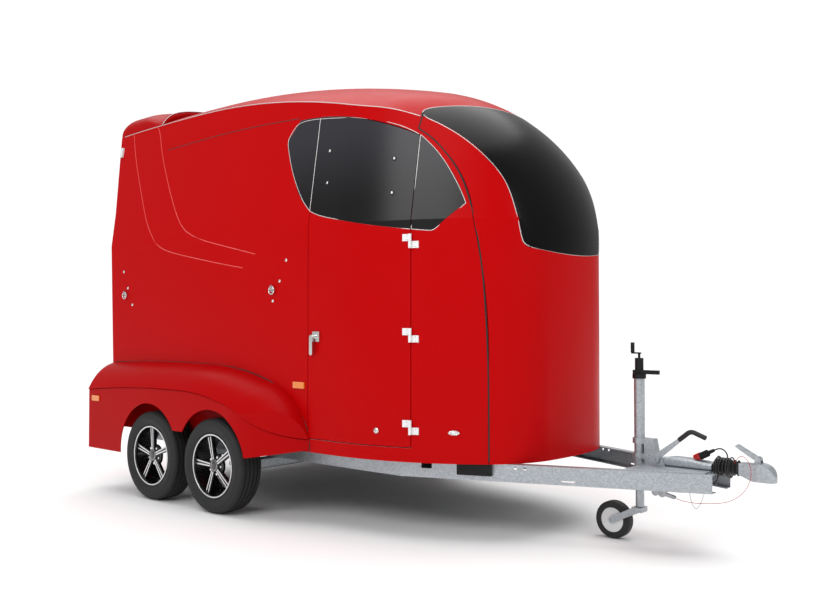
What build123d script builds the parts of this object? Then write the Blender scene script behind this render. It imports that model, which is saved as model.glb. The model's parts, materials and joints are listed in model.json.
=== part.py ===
from build123d import *
from math import asin, atan2, cos, degrees, pi, radians, sin, sqrt, tan
import os

os.makedirs("parts", exist_ok=True)

# Two-horse trailer, millimetres. X runs forward to the coupling, Y to the trailer's left,
# Z up from the ground. The origin is under the middle of the overall length.
# Lengthwise places are counted from the front axle.
axle_x = -785
axle_spacing = 700

# Wheels
tyre_radius = 308
tyre_width = 195
rim_radius = 200
rim_lip_radius = 207
rim_width = 165
track_half = 1036
spoke_pairs = 5
spoke_gap = (1.5, 6)
spoke_width = 11
hub_radius = 42
drum_radius = 118
drum_width = 62
drum_gap = 2
drum_inner_y = 905
drum_outer_y = drum_inner_y + drum_width
spoke_face = 66
spoke_depth = 22
rim_lip_width = 6
rim_barrel = 8
stub_radius = 20
running_fit = 0.05

# Body outline in plan: straight side, cheek arc, corner arc and a flat tip arc
body_half = 925
wall = 30
floor_z = 445
floor_thickness = 40
shoulder_z = 1833
walls_top_z = 3000
lean = 8.75
straight_end_x = axle_x + 950
tail_x = axle_x - 2300
cheek_radius = 1380
cheek_turn = 40
corner_radius = 530
corner_turn = 43

# Roof line on the centre plane: rear arc, brow arc and nose arc, each arched across
crown_x = axle_x - 513
crown_z = 2959
rear_radius = 22235
brow_radius = 6994
brow_turn = 14.24
nose_radius = 1100
arch_radius = 1610
arch_half = 1000
rear_sweep = 3.4

# Rear end of the body, which leans back
rear_foot_x = axle_x - 1495
rear_knee_x = axle_x - 1563
rear_knee_z = 2100
rear_top_x = axle_x - 1638
rear_top_z = 2720
rear_round = 240
rear_cap_x = axle_x - 1180
rear_cap_step = 14
rear_cap_bow = 90
cabin_reach = 60

# Front window, which is the whole brow between the two side walls
lip = 8
glass = 6
sill_z = 1646
sill_radius = 3013
brow_window_x = axle_x + 1560
brow_window_radius = 1537
brow_window_half = 620
brow_corner = ((1428, 690), (1451, 729), (1600, 900))
brow_blend_z = 2200
window_sill_half = 395
window_corner = (430, 1688)
window_side = ((447, 1722), (474, 1900), (508, 2085))
window_flare = ((570, 2200), (800, 2500))
pane_gap = 1
rebate = 24

# Nose seam on the side, from the floor to the roof
nose_seam = 6
seam_foot_x = axle_x + 1840
seam_points = ((1838, 1000), (1817, 1500), (1760, 1900), (1650, 2163), (1446, 2373))
seam_roof_x = axle_x + 1462
seam_roof_z = 2470

# Groom's door on the right-hand side and its gaps
door_rear_x = axle_x + 700
door_front_x = axle_x + 1460
door_bottom_z = 526
door_gap = 5
door_frame = 46
hinge_heights = (645, 1170, 1710)
hinge_off = 18
hinge_pin_radius = 4
hinge_knuckle_radius = 9
hinge_knuckle = 40
hinge_leaf = 6
hinge_leaf_length = 42
leaf_overhang = 0.5
hinge_play = 1

# Side window outline: arcs by their start, middle and end, each place forward of the front axle
window_arcs = (
    ((514, 2545), (1050, 2482), (1450, 2342)),
    ((1450, 2342), (1620, 2150), (1731, 1924)),
    ((1576, 1765), (1150, 1824), (779, 1901)),
    ((779, 1901), (636, 1988), (526, 2145)),
    ((526, 2145), (462, 2270), (410, 2422)),
)
window_opening = 40

# Rear doors: ramp below, flap above
ramp_thickness = 45
ramp_bottom_z = 500
ramp_top_z = 1790
flap_bottom_z = 1800
flap_top_z = 2610
flap_thickness = 32
rear_gap = 5
header_thickness = 36
rear_hinge_radius = 12
rear_hinge_out = 14
rear_pin_radius = 6
rear_hinge_places = (-640, -40, 560)
barrel_length = 40

# Fenders
fender_half = 1152
fender_skin = 6
fender_rear_x = axle_x - 1480
fender_front_x = axle_x + 720
fender_crown_y = 1062
fender_taper_x = 150
fender_taper_y = 1090
fender_tip_width = 12
fender_skirt_z = 302
skirt_step = 8
arch_centre_z = 329
arch_radius_wheel = 346
arch_bridge_z = 508
arch_skirt_in = 14

# Chassis
rail_half = 760
rail_top_z = floor_z
rail_height = 100
rail_flange = 52
rail_web = 5
rail_rear_x = axle_x - 1440
bend_x = axle_x + 1320
beam_front_x = axle_x + 2930
beam_front_half = 128
plate_length = 425
plate_thickness = 8
cross_places = (-1400, -500, 300, 1100)
cross_height = 60
cross_width = 50
axle_tube = 70
arm_length = 150
arm_width = 46

# Overrun device and coupling
ball_x = axle_x + 3174
ball_z = 441.5
ball_radius = 25
housing_rear_x = axle_x + 2605
housing_front_x = axle_x + 2895
housing_width = 104
housing_top_z = 502
housing_shoulder_z = 490
tow_tube_radius = 22
tow_z = 476
bellows_folds = 7
bellows_valley = 30
bellows_crest = 42
ball_play = 0.3
sleeve_radius = 30
hood_below = 22
handle_axis = (axle_x + 3128, 533)
handle_pin_radius = 6
handle_boss_radius = 13
ear_thickness = 6
handle_width = 30
handle_side = ((3134, 548), (3120, 548), (3020, 602), (3008, 590), (3104, 530), (3134, 531))
lever_axis = (axle_x + 2580, 490)
lever_pin_radius = 9
lever_y = 60
lever_thickness = 10
lever_side = ((2562, 500), (2592, 476), (2752, 612), (2740, 628))
grip_line = ((2722, 603), (2790, 658), (2875, 626))
bracket_thickness = 7
tow_tube_front_x = axle_x + 3090
bellows_rear_x = housing_front_x
bellows_front_x = axle_x + 3033
coupling_width = 84
coupling_front_x = axle_x + 3220

# Lead of the lamps: wound on the bellows, its plug parked in a dock on the housing
lead_radius = 3.75
coil_rear_x = axle_x + 2903
coil_front_x = axle_x + 2988
coil_inner_radius = 42.3
coil_outer_radius = 57
plug_x = axle_x + 2818
plug_z = housing_top_z + 17
plug_slope = 28
plug_radius = 19
plug_collar = 46
plug_length = 84
plug_nose_radius = 11
dock_radius = 22
dock_length = 34
lead_to_coil = ((2892.2, 0, 558.4), (2914.7, 0, 570.4), (2940.1, -1, 568), (2959.9, -3, 552), (2967.8, -5, 527.7))
lead_to_plate = ((2834, -50, 445), (2834, -50, 414), (2848, -48, 388), (2874, -44, 376), (2902, -38, 383),
                 (2920, -31, 405), (2924, -26, 432))

# Breakaway cable and the wire hook under the plate
cable_radius = 1.5
breakaway_route = (
    (2673, -2, 275), (2712, -12, 266), (2768, -20, 265), (2824, -26, 268), (2880, -33, 276), (2935, -41, 286),
    (2988, -50, 302), (3036, -57, 330), (3078, -62, 370), (3105, -64, 422), (3112, -62, 476), (3096, -56, 524),
    (3064, -46, 550), (3030, -36, 538), (3012, -30, 505),
)
hook_radius = 2.2
hook_route = ((2742, 0, 445), (2743, 0, 380), (2752, 0, 312), (2765, 0, 256), (2788, 0, 224), (2812, 0, 254),
              (2836, 0, 318), (2849, 0, 382), (2850, 0, 445))

# Brake linkage: cams under the plate and the rod back to the front axle
cam_half = 9
cam_discs = ((2556, 296, 22), (2596, 292, 22), (2664, 277, 9))
cam_hanger = ((2540, 300), (2560, 445), (2620, 445), (2625, 300))
rod_radius = 6
rod_y = 62
rod_z = 362

# Openings in the sloping beams: distance from the bend, height, length, height and corner radius
web_openings = ((160, 421, 66, 46, 6), (683, 424, 18, 18, 8.9), (738, 424, 18, 18, 8.9), (979, 366, 74, 9, 4))
step_place = 451
step_length = 204
step_low = 376
step_depth = 26

# Jockey wheel
jockey_x = axle_x + 2460
jockey_outer_radius = 30
jockey_inner_radius = 24
jockey_tube_top = 925
jockey_tube_bottom = 330
jockey_wheel_radius = 107
jockey_wheel_width = 62
jockey_wheel_x = axle_x + 2300
jockey_axle_radius = 8
jockey_rim_radius = 70
jockey_fork_z = 172
jockey_leg_length = 420
swivel_radius = 10
fork_height = 26
fork_half = 41
fork_plate = 6
clamp_heights = (475, 560)
clamp_height = 30


def plan_outline(inset, height):
    """Bullet-shaped outline of the body at a height, inset from its outer skin."""
    cheek_y = body_half - cheek_radius
    turn = radians(cheek_turn)
    corner_x = straight_end_x + (cheek_radius - corner_radius) * sin(turn)
    corner_y = cheek_y + (cheek_radius - corner_radius) * cos(turn)
    tip_turn = 90 - cheek_turn - corner_turn
    tip_radius = corner_radius + corner_y / sin(radians(tip_turn))
    tip_centre_x = corner_x - (tip_radius - corner_radius) * cos(radians(tip_turn))
    half = body_half - inset
    with BuildSketch(Plane.XY.offset(height)) as outline:
        with BuildLine():
            Line((tail_x, 0), (tail_x, half))
            Line((tail_x, half), (straight_end_x, half))
            CenterArc((straight_end_x, cheek_y), cheek_radius - inset, 90, -cheek_turn)
            CenterArc((corner_x, corner_y), corner_radius - inset, 90 - cheek_turn, -corner_turn)
            CenterArc((tip_centre_x, 0), tip_radius - inset, tip_turn, -tip_turn)
            mirror(about=Plane.XZ)
        make_face()
    return outline.sketch


def walls_form(inset):
    """Solid inside the side walls: upright to the shoulder, then leaning inwards."""
    with BuildPart() as form:
        extrude(plan_outline(inset, floor_z), amount=shoulder_z - floor_z)
        top_inset = inset + (walls_top_z - shoulder_z) * tan(radians(lean))
        loft((plan_outline(inset, shoulder_z), plan_outline(top_inset, walls_top_z)), ruled=True)
    return form.part


def roof_lobe(centre_x, centre_z, radius, start, sweep, inset):
    """Wedge under one arc of the roof line, its outer face arched across the trailer."""
    slope = radians(start)
    section = Plane(origin=(centre_x, 0, centre_z), x_dir=(0, 1, 0), z_dir=(cos(slope), 0, -sin(slope)))
    top = radius - inset
    arch = arch_radius - inset
    edge = top - arch + sqrt(arch ** 2 - arch_half ** 2)
    with BuildPart() as lobe:
        with BuildSketch(section):
            with BuildLine():
                crest = ThreePointArc((-arch_half, edge), (0, top), (arch_half, edge))
                Polyline(crest @ 1, (arch_half, 0), (-arch_half, 0), crest @ 0)
            make_face()
        revolve(axis=Axis((centre_x, 0, centre_z), (0, 1, 0)), revolution_arc=sweep)
    return lobe.part


brow_centre_z = crown_z - brow_radius
nose_centre_x = crown_x + (brow_radius - nose_radius) * sin(radians(brow_turn))
nose_centre_z = brow_centre_z + (brow_radius - nose_radius) * cos(radians(brow_turn))


def rear_outline(inset):
    """Side view of everything in front of the body's rear face."""
    top_x = rear_top_x + inset
    with BuildSketch(Plane.XZ) as outline:
        with BuildLine():
            foot = (rear_foot_x + inset, floor_z)
            Polyline(foot, (rear_knee_x + inset, rear_knee_z), (top_x, rear_top_z))
            cap = ThreePointArc(
                (top_x, rear_top_z),
                (top_x + 0.22 * rear_round, rear_top_z + 0.54 * rear_round),
                (top_x + 0.58 * rear_round, rear_top_z + rear_round),
            )
            Polyline(cap @ 1, (top_x + 0.58 * rear_round, walls_top_z + wall), (-tail_x, walls_top_z + wall),
                     (-tail_x, floor_z), foot)
        make_face()
    return outline.sketch


def roof_form(inset, rear_inset=0):
    """Solid under the roof and the brow, cut by the rear face."""
    with BuildPart() as form:
        add(roof_lobe(crown_x, crown_z - rear_radius, rear_radius, -rear_sweep, rear_sweep, inset))
        add(roof_lobe(crown_x, brow_centre_z, brow_radius, 0, brow_turn, inset))
        add(roof_lobe(nose_centre_x, nose_centre_z, nose_radius, brow_turn, 90 - brow_turn, inset))
        with BuildSketch(Plane.XY.offset(nose_centre_z)):
            arch = arch_radius - inset
            tip = nose_centre_x + nose_radius - inset
            edge = tip - arch + sqrt(arch ** 2 - arch_half ** 2)
            with BuildLine():
                crest = ThreePointArc((edge, -arch_half), (tip, 0), (edge, arch_half))
                Polyline(crest @ 1, (nose_centre_x, arch_half), (nose_centre_x, -arch_half), crest @ 0)
            make_face()
        extrude(amount=floor_z - nose_centre_z)
        with BuildSketch(Plane.YZ.offset(nose_centre_x)):
            side_z = sill_z + sill_radius - sqrt(sill_radius ** 2 - arch_half ** 2)
            with BuildLine():
                sill = ThreePointArc((-arch_half, side_z), (0, sill_z), (arch_half, side_z))
                Polyline(sill @ 1, (arch_half, floor_z), (-arch_half, floor_z), sill @ 0)
            make_face()
        extrude(amount=1300)
        with BuildSketch(Plane.XY.offset(floor_z)):
            with Locations(((tail_x + nose_centre_x) / 2, 0)):
                Rectangle(nose_centre_x - tail_x, 2 * arch_half)
        extrude(amount=nose_centre_z - floor_z)
        extrude(rear_outline(rear_inset), amount=arch_half + wall, both=True, mode=Mode.INTERSECT)
    return form.part


def behind_brow(offset):
    """Plan of everything behind the upper edge of the front window, on the roof."""
    edge_x = brow_window_x + offset
    drop = brow_window_radius - sqrt(brow_window_radius ** 2 - brow_window_half ** 2)
    corner = [(edge_x - drop, brow_window_half)] + [(axle_x + x + offset, y) for x, y in brow_corner]
    other = [(x, -y) for x, y in corner]
    with BuildSketch(Plane.XY.offset(floor_z)) as outline:
        with BuildLine():
            ThreePointArc(other[0], (edge_x, 0), corner[0])
            ThreePointArc(*corner[0:3])
            ThreePointArc(*other[0:3])
            Polyline(corner[2], corner[3], (corner[3][0], arch_half), (tail_x, arch_half), (tail_x, -arch_half),
                     (corner[3][0], -arch_half), other[3], other[2])
        make_face()
    return outline.sketch


def window_front(inset):
    """Front view of the front window, open to the width of the roof at its top."""
    sill_end = (window_sill_half, sill_z + sill_radius - sqrt(sill_radius ** 2 - window_sill_half ** 2))
    right = [sill_end, window_corner, *window_side, *window_flare, (arch_half, crown_z)]
    left = [(-y, z) for y, z in right]
    with BuildSketch(Plane.YZ.offset(nose_centre_x)) as outline:
        with BuildLine():
            ThreePointArc(left[0], (0, sill_z), right[0])
            for side in (right, left):
                ThreePointArc(*side[0:3])
                ThreePointArc(*side[2:5])
                Polyline(*side[4:])
            Line(right[-1], left[-1])
        make_face()
        if inset:
            offset(amount=-inset, mode=Mode.REPLACE)
    return outline.sketch


def behind_seam(offset):
    """Side view of everything behind the nose seam."""
    points = [(axle_x + x + offset, z) for x, z in seam_points]
    with BuildSketch(Plane.XZ) as outline:
        with BuildLine():
            Line((seam_foot_x + offset, 0), points[0])
            ThreePointArc(points[0], points[1], points[2])
            ThreePointArc(points[2], points[3], points[4])
            Polyline(points[4], (seam_roof_x + offset, seam_roof_z), (seam_roof_x + offset, walls_top_z + wall),
                     (tail_x, walls_top_z + wall), (tail_x, 0), (seam_foot_x + offset, 0))
        make_face()
    return outline.sketch


def window_outline(inset):
    """Side view of the side window, inset from its edge."""
    with BuildSketch(Plane.XZ) as outline:
        with BuildLine():
            for place, (start, middle, end) in enumerate(window_arcs):
                shifted = [(axle_x + x, z) for x, z in (start, middle, end)]
                ThreePointArc(*shifted)
                following = window_arcs[(place + 1) % len(window_arcs)][0]
                if following != end:
                    Line(shifted[2], (axle_x + following[0], following[1]))
        make_face()
        if inset:
            offset(amount=-inset, mode=Mode.REPLACE)
    return outline.sketch


def side_band(rear, front, low, high):
    """Rectangle in side view."""
    with BuildSketch(Plane.XZ) as outline:
        with Locations(((rear + front) / 2, (low + high) / 2)):
            Rectangle(front - rear, high - low)
    return outline.sketch


def door_outline(inset):
    """Side view of the groom's door, whose top is the side window's top."""
    with BuildSketch(Plane.XZ) as outline:
        add(side_band(door_rear_x, door_front_x, door_bottom_z, walls_top_z))
        add(window_outline(0), mode=Mode.INTERSECT)
        add(side_band(door_rear_x, door_front_x, door_bottom_z, 2000))
        if inset:
            offset(amount=-inset, mode=Mode.REPLACE)
    return outline.sketch


walls_outer = walls_form(0)
walls_lip = walls_form(lip)
walls_glass = walls_form(glass)
walls_inner = walls_form(wall)
roof_outer = roof_form(0)
roof_glass = roof_form(glass)
roof_inner = roof_form(wall, -cabin_reach)


def cap_line(offset):
    """Plan of the roof in front of the bowed line where the lower rear cap begins."""
    line_x = rear_cap_x + offset
    with BuildSketch(Plane.XY.offset(floor_z)) as outline:
        with BuildLine():
            edge = ThreePointArc((line_x + rear_cap_bow, -arch_half), (line_x, 0),
                                 (line_x + rear_cap_bow, arch_half))
            Polyline(edge @ 1, (-tail_x, arch_half), (-tail_x, -arch_half), edge @ 0)
        make_face()
    return outline.sketch


def roof_layer(depth, inset):
    """The skin of the roof and brow to a depth, between the side walls' upper lips."""
    with BuildPart() as layer:
        add(walls_form(inset))
        add(roof_outer, mode=Mode.INTERSECT)
        add(roof_form(depth, -cabin_reach), mode=Mode.SUBTRACT)
    return layer.part


def window_pocket():
    """Recess for the side window's panes."""
    with BuildPart() as pocket:
        extrude(window_outline(0), amount=arch_half)
        add(walls_glass, mode=Mode.SUBTRACT)
    return pocket.part


def side_panes(rear, front, edge_gap):
    """Glass of the side window between two places, flush with the right-hand skin."""
    with BuildPart() as panes:
        add(walls_outer)
        add(walls_glass, mode=Mode.SUBTRACT)
        with BuildSketch(Plane.XZ) as outline:
            add(window_outline(pane_gap))
            add(side_band(rear + edge_gap, front - edge_gap, 0, walls_top_z), mode=Mode.INTERSECT)
        extrude(outline.sketch, amount=arch_half, mode=Mode.INTERSECT)
    return panes.part


def save(part, name):
    part.label = name
    export_step(part, f"parts/{name}.step")


def brow_pane(gap):
    """Skin inside the front window's outline: the brow's, and the nose's as well below it."""
    with BuildPart() as nose_core:
        add(walls_glass)
        add(roof_glass, mode=Mode.INTERSECT)
    with BuildPart() as nose_skin:
        add(walls_outer)
        add(roof_outer, mode=Mode.INTERSECT)
        add(nose_core.part, mode=Mode.SUBTRACT)
        split(bisect_by=Plane.XY.offset(brow_blend_z), keep=Keep.BOTTOM)
    with BuildPart() as pane:
        add(roof_layer(glass, lip + gap))
        add(nose_skin.part)
        extrude(behind_brow(gap), amount=walls_top_z, mode=Mode.SUBTRACT)
        extrude(window_front(gap), amount=cheek_radius, mode=Mode.INTERSECT)
    return pane.part


# Recess for the front window's pane, and the pane itself
window_recess = brow_pane(0)
front_window = brow_pane(pane_gap)
save(front_window, "front_window")

# Both side walls before their windows are cut: the wall's thickness, less the roof's edge
roof_rim = roof_layer(wall, lip)
with BuildPart() as wall_shell:
    add(walls_outer)
    add(roof_outer, mode=Mode.INTERSECT)
    add(walls_inner, mode=Mode.SUBTRACT)
    add(roof_rim, mode=Mode.SUBTRACT)
    extrude(behind_seam(-nose_seam / 2), amount=arch_half + wall, both=True, mode=Mode.INTERSECT)
right_pocket = window_pocket()

with BuildPart() as right_wall:
    add(wall_shell.part)
    split(bisect_by=Plane.XZ, keep=Keep.TOP)
    extrude(door_outline(0), amount=arch_half, mode=Mode.SUBTRACT)
    add(right_pocket, mode=Mode.SUBTRACT)
    with BuildSketch(Plane.XZ) as quarter_openings:
        add(window_outline(window_opening))
        add(side_band(door_rear_x - door_frame, door_front_x + door_frame, 0, walls_top_z),
            mode=Mode.SUBTRACT)
    extrude(quarter_openings.sketch, amount=arch_half, mode=Mode.SUBTRACT)
save(right_wall.part, "right_wall")

with BuildPart() as left_wall:
    add(wall_shell.part)
    split(bisect_by=Plane.XZ, keep=Keep.BOTTOM)
    add(mirror(right_pocket, about=Plane.XZ, mode=Mode.PRIVATE), mode=Mode.SUBTRACT)
    extrude(window_outline(window_opening), amount=-arch_half, mode=Mode.SUBTRACT)
save(left_wall.part, "left_wall")

with BuildPart() as quarter_windows:
    add(side_panes(tail_x, door_rear_x, 0))
    add(side_panes(door_front_x, seam_foot_x, 0))
save(quarter_windows.part, "right_quarter_windows")

with BuildPart() as left_window:
    mirror(side_panes(tail_x, seam_foot_x, 0), about=Plane.XZ)
save(left_window.part, "left_window")

# Groom's door, cut from the same wall, with its pane over a frame
door_rear_edge = door_rear_x + door_gap
door_front_edge = door_front_x - door_gap
with BuildPart() as groom_door:
    add(walls_outer)
    add(walls_inner, mode=Mode.SUBTRACT)
    extrude(door_outline(door_gap), amount=arch_half, mode=Mode.INTERSECT)
    add(right_pocket, mode=Mode.SUBTRACT)
    with BuildSketch(Plane.XZ) as door_opening:
        add(window_outline(window_opening))
        add(side_band(door_rear_x + door_frame, door_front_x - door_frame, 0, walls_top_z),
            mode=Mode.INTERSECT)
    extrude(door_opening.sketch, amount=arch_half, mode=Mode.SUBTRACT)
save(groom_door.part, "groom_door")

with BuildPart() as door_window:
    add(side_panes(door_rear_x, door_front_x, door_gap))
    extrude(door_outline(door_gap), amount=arch_half, mode=Mode.INTERSECT)
save(door_window.part, "door_window")

# Roof, with a ledge under the front window's upper edge, and the lower cap behind it
with BuildPart() as roof:
    add(roof_rim)
    extrude(behind_brow(rebate), amount=walls_top_z, mode=Mode.INTERSECT)
    extrude(cap_line(0), amount=walls_top_z, mode=Mode.INTERSECT)
    add(window_recess, mode=Mode.SUBTRACT)
save(roof.part, "roof")


with BuildPart() as rear_header:
    add(walls_inner)
    add(roof_form(wall), mode=Mode.INTERSECT)
    extrude(rear_outline(header_thickness), amount=arch_half + wall, both=True, mode=Mode.SUBTRACT)
    split(bisect_by=Plane.XY.offset(flap_top_z + rear_gap), keep=Keep.TOP)

with BuildPart() as rear_cap:
    add(walls_lip)
    add(roof_form(rear_cap_step), mode=Mode.INTERSECT)
    add(roof_inner, mode=Mode.SUBTRACT)
    extrude(cap_line(0), amount=walls_top_z, mode=Mode.SUBTRACT)
    add(rear_header.part)
save(rear_cap.part, "rear_cap")

# Nose, in front of the seam, with the front window's opening
with BuildPart() as cabin_space:
    add(walls_inner)
    add(roof_inner, mode=Mode.INTERSECT)

with BuildPart() as brow_opening:
    add(walls_inner)
    add(roof_outer, mode=Mode.INTERSECT)
    extrude(behind_brow(rebate), amount=walls_top_z, mode=Mode.SUBTRACT)
    extrude(window_front(rebate), amount=cheek_radius, mode=Mode.INTERSECT)

with BuildPart() as nose_panel:
    add(walls_outer)
    add(roof_outer, mode=Mode.INTERSECT)
    add(cabin_space.part, mode=Mode.SUBTRACT)
    extrude(behind_seam(nose_seam / 2), amount=arch_half + wall, both=True, mode=Mode.SUBTRACT)
    add(window_recess, mode=Mode.SUBTRACT)
    add(roof.part, mode=Mode.SUBTRACT)
    add(brow_opening.part, mode=Mode.SUBTRACT)
save(nose_panel.part, "nose_panel")


def rear_x(height):
    """Rear face of the body at a height."""
    if height < rear_knee_z:
        share = (height - floor_z) / (rear_knee_z - floor_z)
        return rear_foot_x + share * (rear_knee_x - rear_foot_x)
    share = (height - rear_knee_z) / (rear_top_z - rear_knee_z)
    return rear_knee_x + share * (rear_top_x - rear_knee_x)


def rear_panel(heights, thickness):
    """Rear door between heights, following the rear face, as wide as the gap between the walls."""
    with BuildPart() as panel:
        with BuildSketch(Plane.XZ):
            with BuildLine():
                outer = [(rear_x(height), height) for height in heights]
                inner = [(x + thickness, height) for x, height in reversed(outer)]
                Polyline(*outer, *inner, close=True)
            make_face()
        extrude(amount=arch_half, both=True)
        add(walls_form(wall + rear_gap), mode=Mode.INTERSECT)
    return panel.part


ramp_axis = (rear_x(ramp_bottom_z) - rear_hinge_out, ramp_bottom_z)
flap_axis = (rear_x(flap_top_z) - rear_hinge_out, flap_top_z)


def hinge_pins(axis):
    with BuildPart() as pin:
        with BuildSketch(Plane.XZ):
            with Locations(axis):
                Circle(rear_pin_radius)
        extrude(amount=-2 * barrel_length + 2)
    return [pin.part.moved(Location((0, place, 0))) for place in rear_hinge_places]


with BuildPart() as ramp:
    add(rear_panel((ramp_bottom_z, ramp_top_z), ramp_thickness))
    for place in rear_hinge_places:
        with BuildSketch(Plane.XZ.offset(-place)):
            with BuildLine():
                Polyline(
                    (ramp_axis[0], ramp_axis[1] - 2), (ramp_axis[0] + rear_hinge_out + 1, ramp_axis[1]),
                    (ramp_axis[0] + rear_hinge_out + 1, ramp_axis[1] + 60), (ramp_axis[0] + 8, ramp_axis[1] + 60),
                    (ramp_axis[0], ramp_axis[1] + 10), close=True,
                )
            make_face()
            with Locations(ramp_axis):
                Circle(rear_hinge_radius)
        extrude(amount=-barrel_length)
    with BuildSketch(Plane.XZ.offset(-arch_half)):
        with Locations(ramp_axis):
            Circle(rear_pin_radius + running_fit)
    extrude(amount=2 * arch_half, mode=Mode.SUBTRACT)
save(ramp.part, "ramp")

with BuildPart() as rear_flap:
    add(rear_panel((flap_bottom_z, rear_knee_z, flap_top_z), flap_thickness))
    for place in rear_hinge_places:
        with BuildSketch(Plane.XZ.offset(-place)):
            with BuildLine():
                Polyline(
                    (flap_axis[0], flap_axis[1] + 2), (flap_axis[0] + rear_hinge_out + 1, flap_axis[1]),
                    (flap_axis[0] + rear_hinge_out + 6, flap_axis[1] - 60), (flap_axis[0] + 10, flap_axis[1] - 60),
                    (flap_axis[0], flap_axis[1] - 10), close=True,
                )
            make_face()
            with Locations(flap_axis):
                Circle(rear_hinge_radius)
        extrude(amount=-barrel_length)
    with BuildSketch(Plane.XZ.offset(-arch_half)):
        with Locations(flap_axis):
            Circle(rear_pin_radius + running_fit)
    extrude(amount=2 * arch_half, mode=Mode.SUBTRACT)
save(rear_flap.part, "rear_flap")

# Brackets and pins of both rear doors, carried by the floor's edge and the header
bracket_start = barrel_length + 1
with BuildPart() as rear_hinge_brackets:
    for place in rear_hinge_places:
        with BuildSketch(Plane.XZ.offset(-place - bracket_start)):
            with BuildLine():
                Polyline(
                    (ramp_axis[0] - 9, ramp_axis[1]), (ramp_axis[0] - 9, floor_z + 6),
                    (rear_x(floor_z + 6), floor_z + 6), (rear_x(floor_z + 38), floor_z + 38),
                    (ramp_axis[0] + 8, ramp_axis[1] - 8), close=True,
                )
            make_face()
            with Locations(ramp_axis):
                Circle(rear_hinge_radius)
        extrude(amount=-barrel_length)
    add(hinge_pins(ramp_axis))
    for place in rear_hinge_places:
        with BuildSketch(Plane.XZ.offset(-place - bracket_start)):
            with BuildLine():
                Polyline(
                    (flap_axis[0] - 8, flap_axis[1] + 8), (rear_x(flap_top_z + 60), flap_axis[1] + 60),
                    (rear_x(flap_top_z + 12), flap_axis[1] + 12), (flap_axis[0] + 8, flap_axis[1] + 4), close=True,
                )
            make_face()
            with Locations(flap_axis):
                Circle(rear_hinge_radius)
        extrude(amount=-barrel_length)
    add(hinge_pins(flap_axis))
save(rear_hinge_brackets.part, "rear_hinge_brackets")

# Floor between the walls
with BuildPart() as floor:
    extrude(plan_outline(wall, floor_z), amount=floor_thickness)
    extrude(rear_outline(0), amount=arch_half, both=True, mode=Mode.INTERSECT)
save(floor.part, "floor")


# Fender sections: distance from the centre plane and points of the outline's three arcs
fender_sections = (
    (body_half, ((-1465, 934), (-950, 956), (-300, 956), (35, 932), (359, 861), (585, 745), (719, 536))),
    (fender_crown_y, ((-1474, 866), (-950, 896), (-330, 900), (0, 880), (320, 806), (560, 690), (719, 530))),
    (fender_half, ((-1480, 738), (-950, 776), (-359, 786), (-80, 768), (250, 690), (440, 596), (719, 524))),
)


def fender_section(outline, inset, low):
    """Side view of the fender at one section, closed down to a height."""
    points = [(axle_x + x, z - inset) for x, z in outline]
    points[0] = (fender_rear_x + inset, points[0][1])
    points[-1] = (points[-1][0] - inset, points[-1][1])
    with BuildSketch(Plane.XZ) as section:
        with BuildLine():
            ThreePointArc(*points[0:3])
            ThreePointArc(*points[2:5])
            ThreePointArc(*points[4:7])
            Polyline(points[6], (points[6][0], low), (points[0][0], low), points[0])
        make_face()
    return section.sketch


def fender_plan(inset):
    """Plan of the fender, which tapers to the body in front of the front wheel."""
    outer = fender_half - inset
    start = (axle_x + fender_taper_x, outer)
    tip = (fender_front_x, body_half + fender_tip_width - inset)
    with BuildSketch(Plane.XY) as plan:
        with BuildLine():
            ThreePointArc(start, (axle_x + 500, fender_taper_y - inset), tip)
            Polyline(tip, (fender_front_x, 0), (fender_rear_x - wall, 0), (fender_rear_x - wall, outer), start)
        make_face()
    return plan.sketch


def fender_form(inset):
    """Swept cover over both wheels: arched top edge on the body, crease further out, stepped skirt below."""
    low = 0 if inset else fender_skirt_z
    faces = []
    for y, outline in fender_sections:
        faces.append(fender_section(outline, inset, low).moved(Location((0, y - inset, 0))))
    with BuildPart() as form:
        loft(faces)
        extrude(fender_plan(inset), amount=walls_top_z, mode=Mode.INTERSECT)
    with BuildPart() as skirt_skin:
        extrude(fender_section(fender_sections[2][1], inset, low - wall), amount=-arch_half - arch_radius_wheel)
        extrude(fender_plan(inset + skirt_step), amount=walls_top_z, mode=Mode.SUBTRACT)
    with BuildPart() as stepped:
        add(form.part)
        add(skirt_skin.part, mode=Mode.SUBTRACT)
    return stepped.part


with BuildPart() as fender:
    add(fender_form(0))
    add(fender_form(fender_skin), mode=Mode.SUBTRACT)
    split(bisect_by=Plane.XZ.offset(-body_half), keep=Keep.BOTTOM)
    with BuildSketch(Plane.XZ) as arches:
        with Locations((axle_x, arch_centre_z), (axle_x - axle_spacing, arch_centre_z)):
            Circle(arch_radius_wheel)
        with BuildLine():
            rear_edge = axle_x - axle_spacing - arch_radius_wheel + arch_skirt_in
            Polyline(
                (rear_edge, 0), (rear_edge, arch_centre_z), (axle_x - axle_spacing, arch_bridge_z),
                (axle_x, arch_bridge_z), (axle_x + arch_radius_wheel, 393), (fender_front_x + 30, 462),
                (fender_front_x + 30, 0), close=True,
            )
        make_face()
    extrude(arches.sketch, amount=-2 * arch_half, mode=Mode.SUBTRACT)
save(fender.part, "left_fender")
with BuildPart() as right_fender:
    mirror(fender.part, about=Plane.XZ)
save(right_fender.part, "right_fender")


beam_turn = atan2(rail_half - beam_front_half, beam_front_x - bend_x)


def beam_face():
    """Outer face of the left beam in front of the bend, X back towards the bend and Y up."""
    back = (-cos(beam_turn), sin(beam_turn), 0)
    return Plane(origin=(bend_x, rail_half, 0), x_dir=back, z_dir=(sin(beam_turn), cos(beam_turn), 0))


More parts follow.
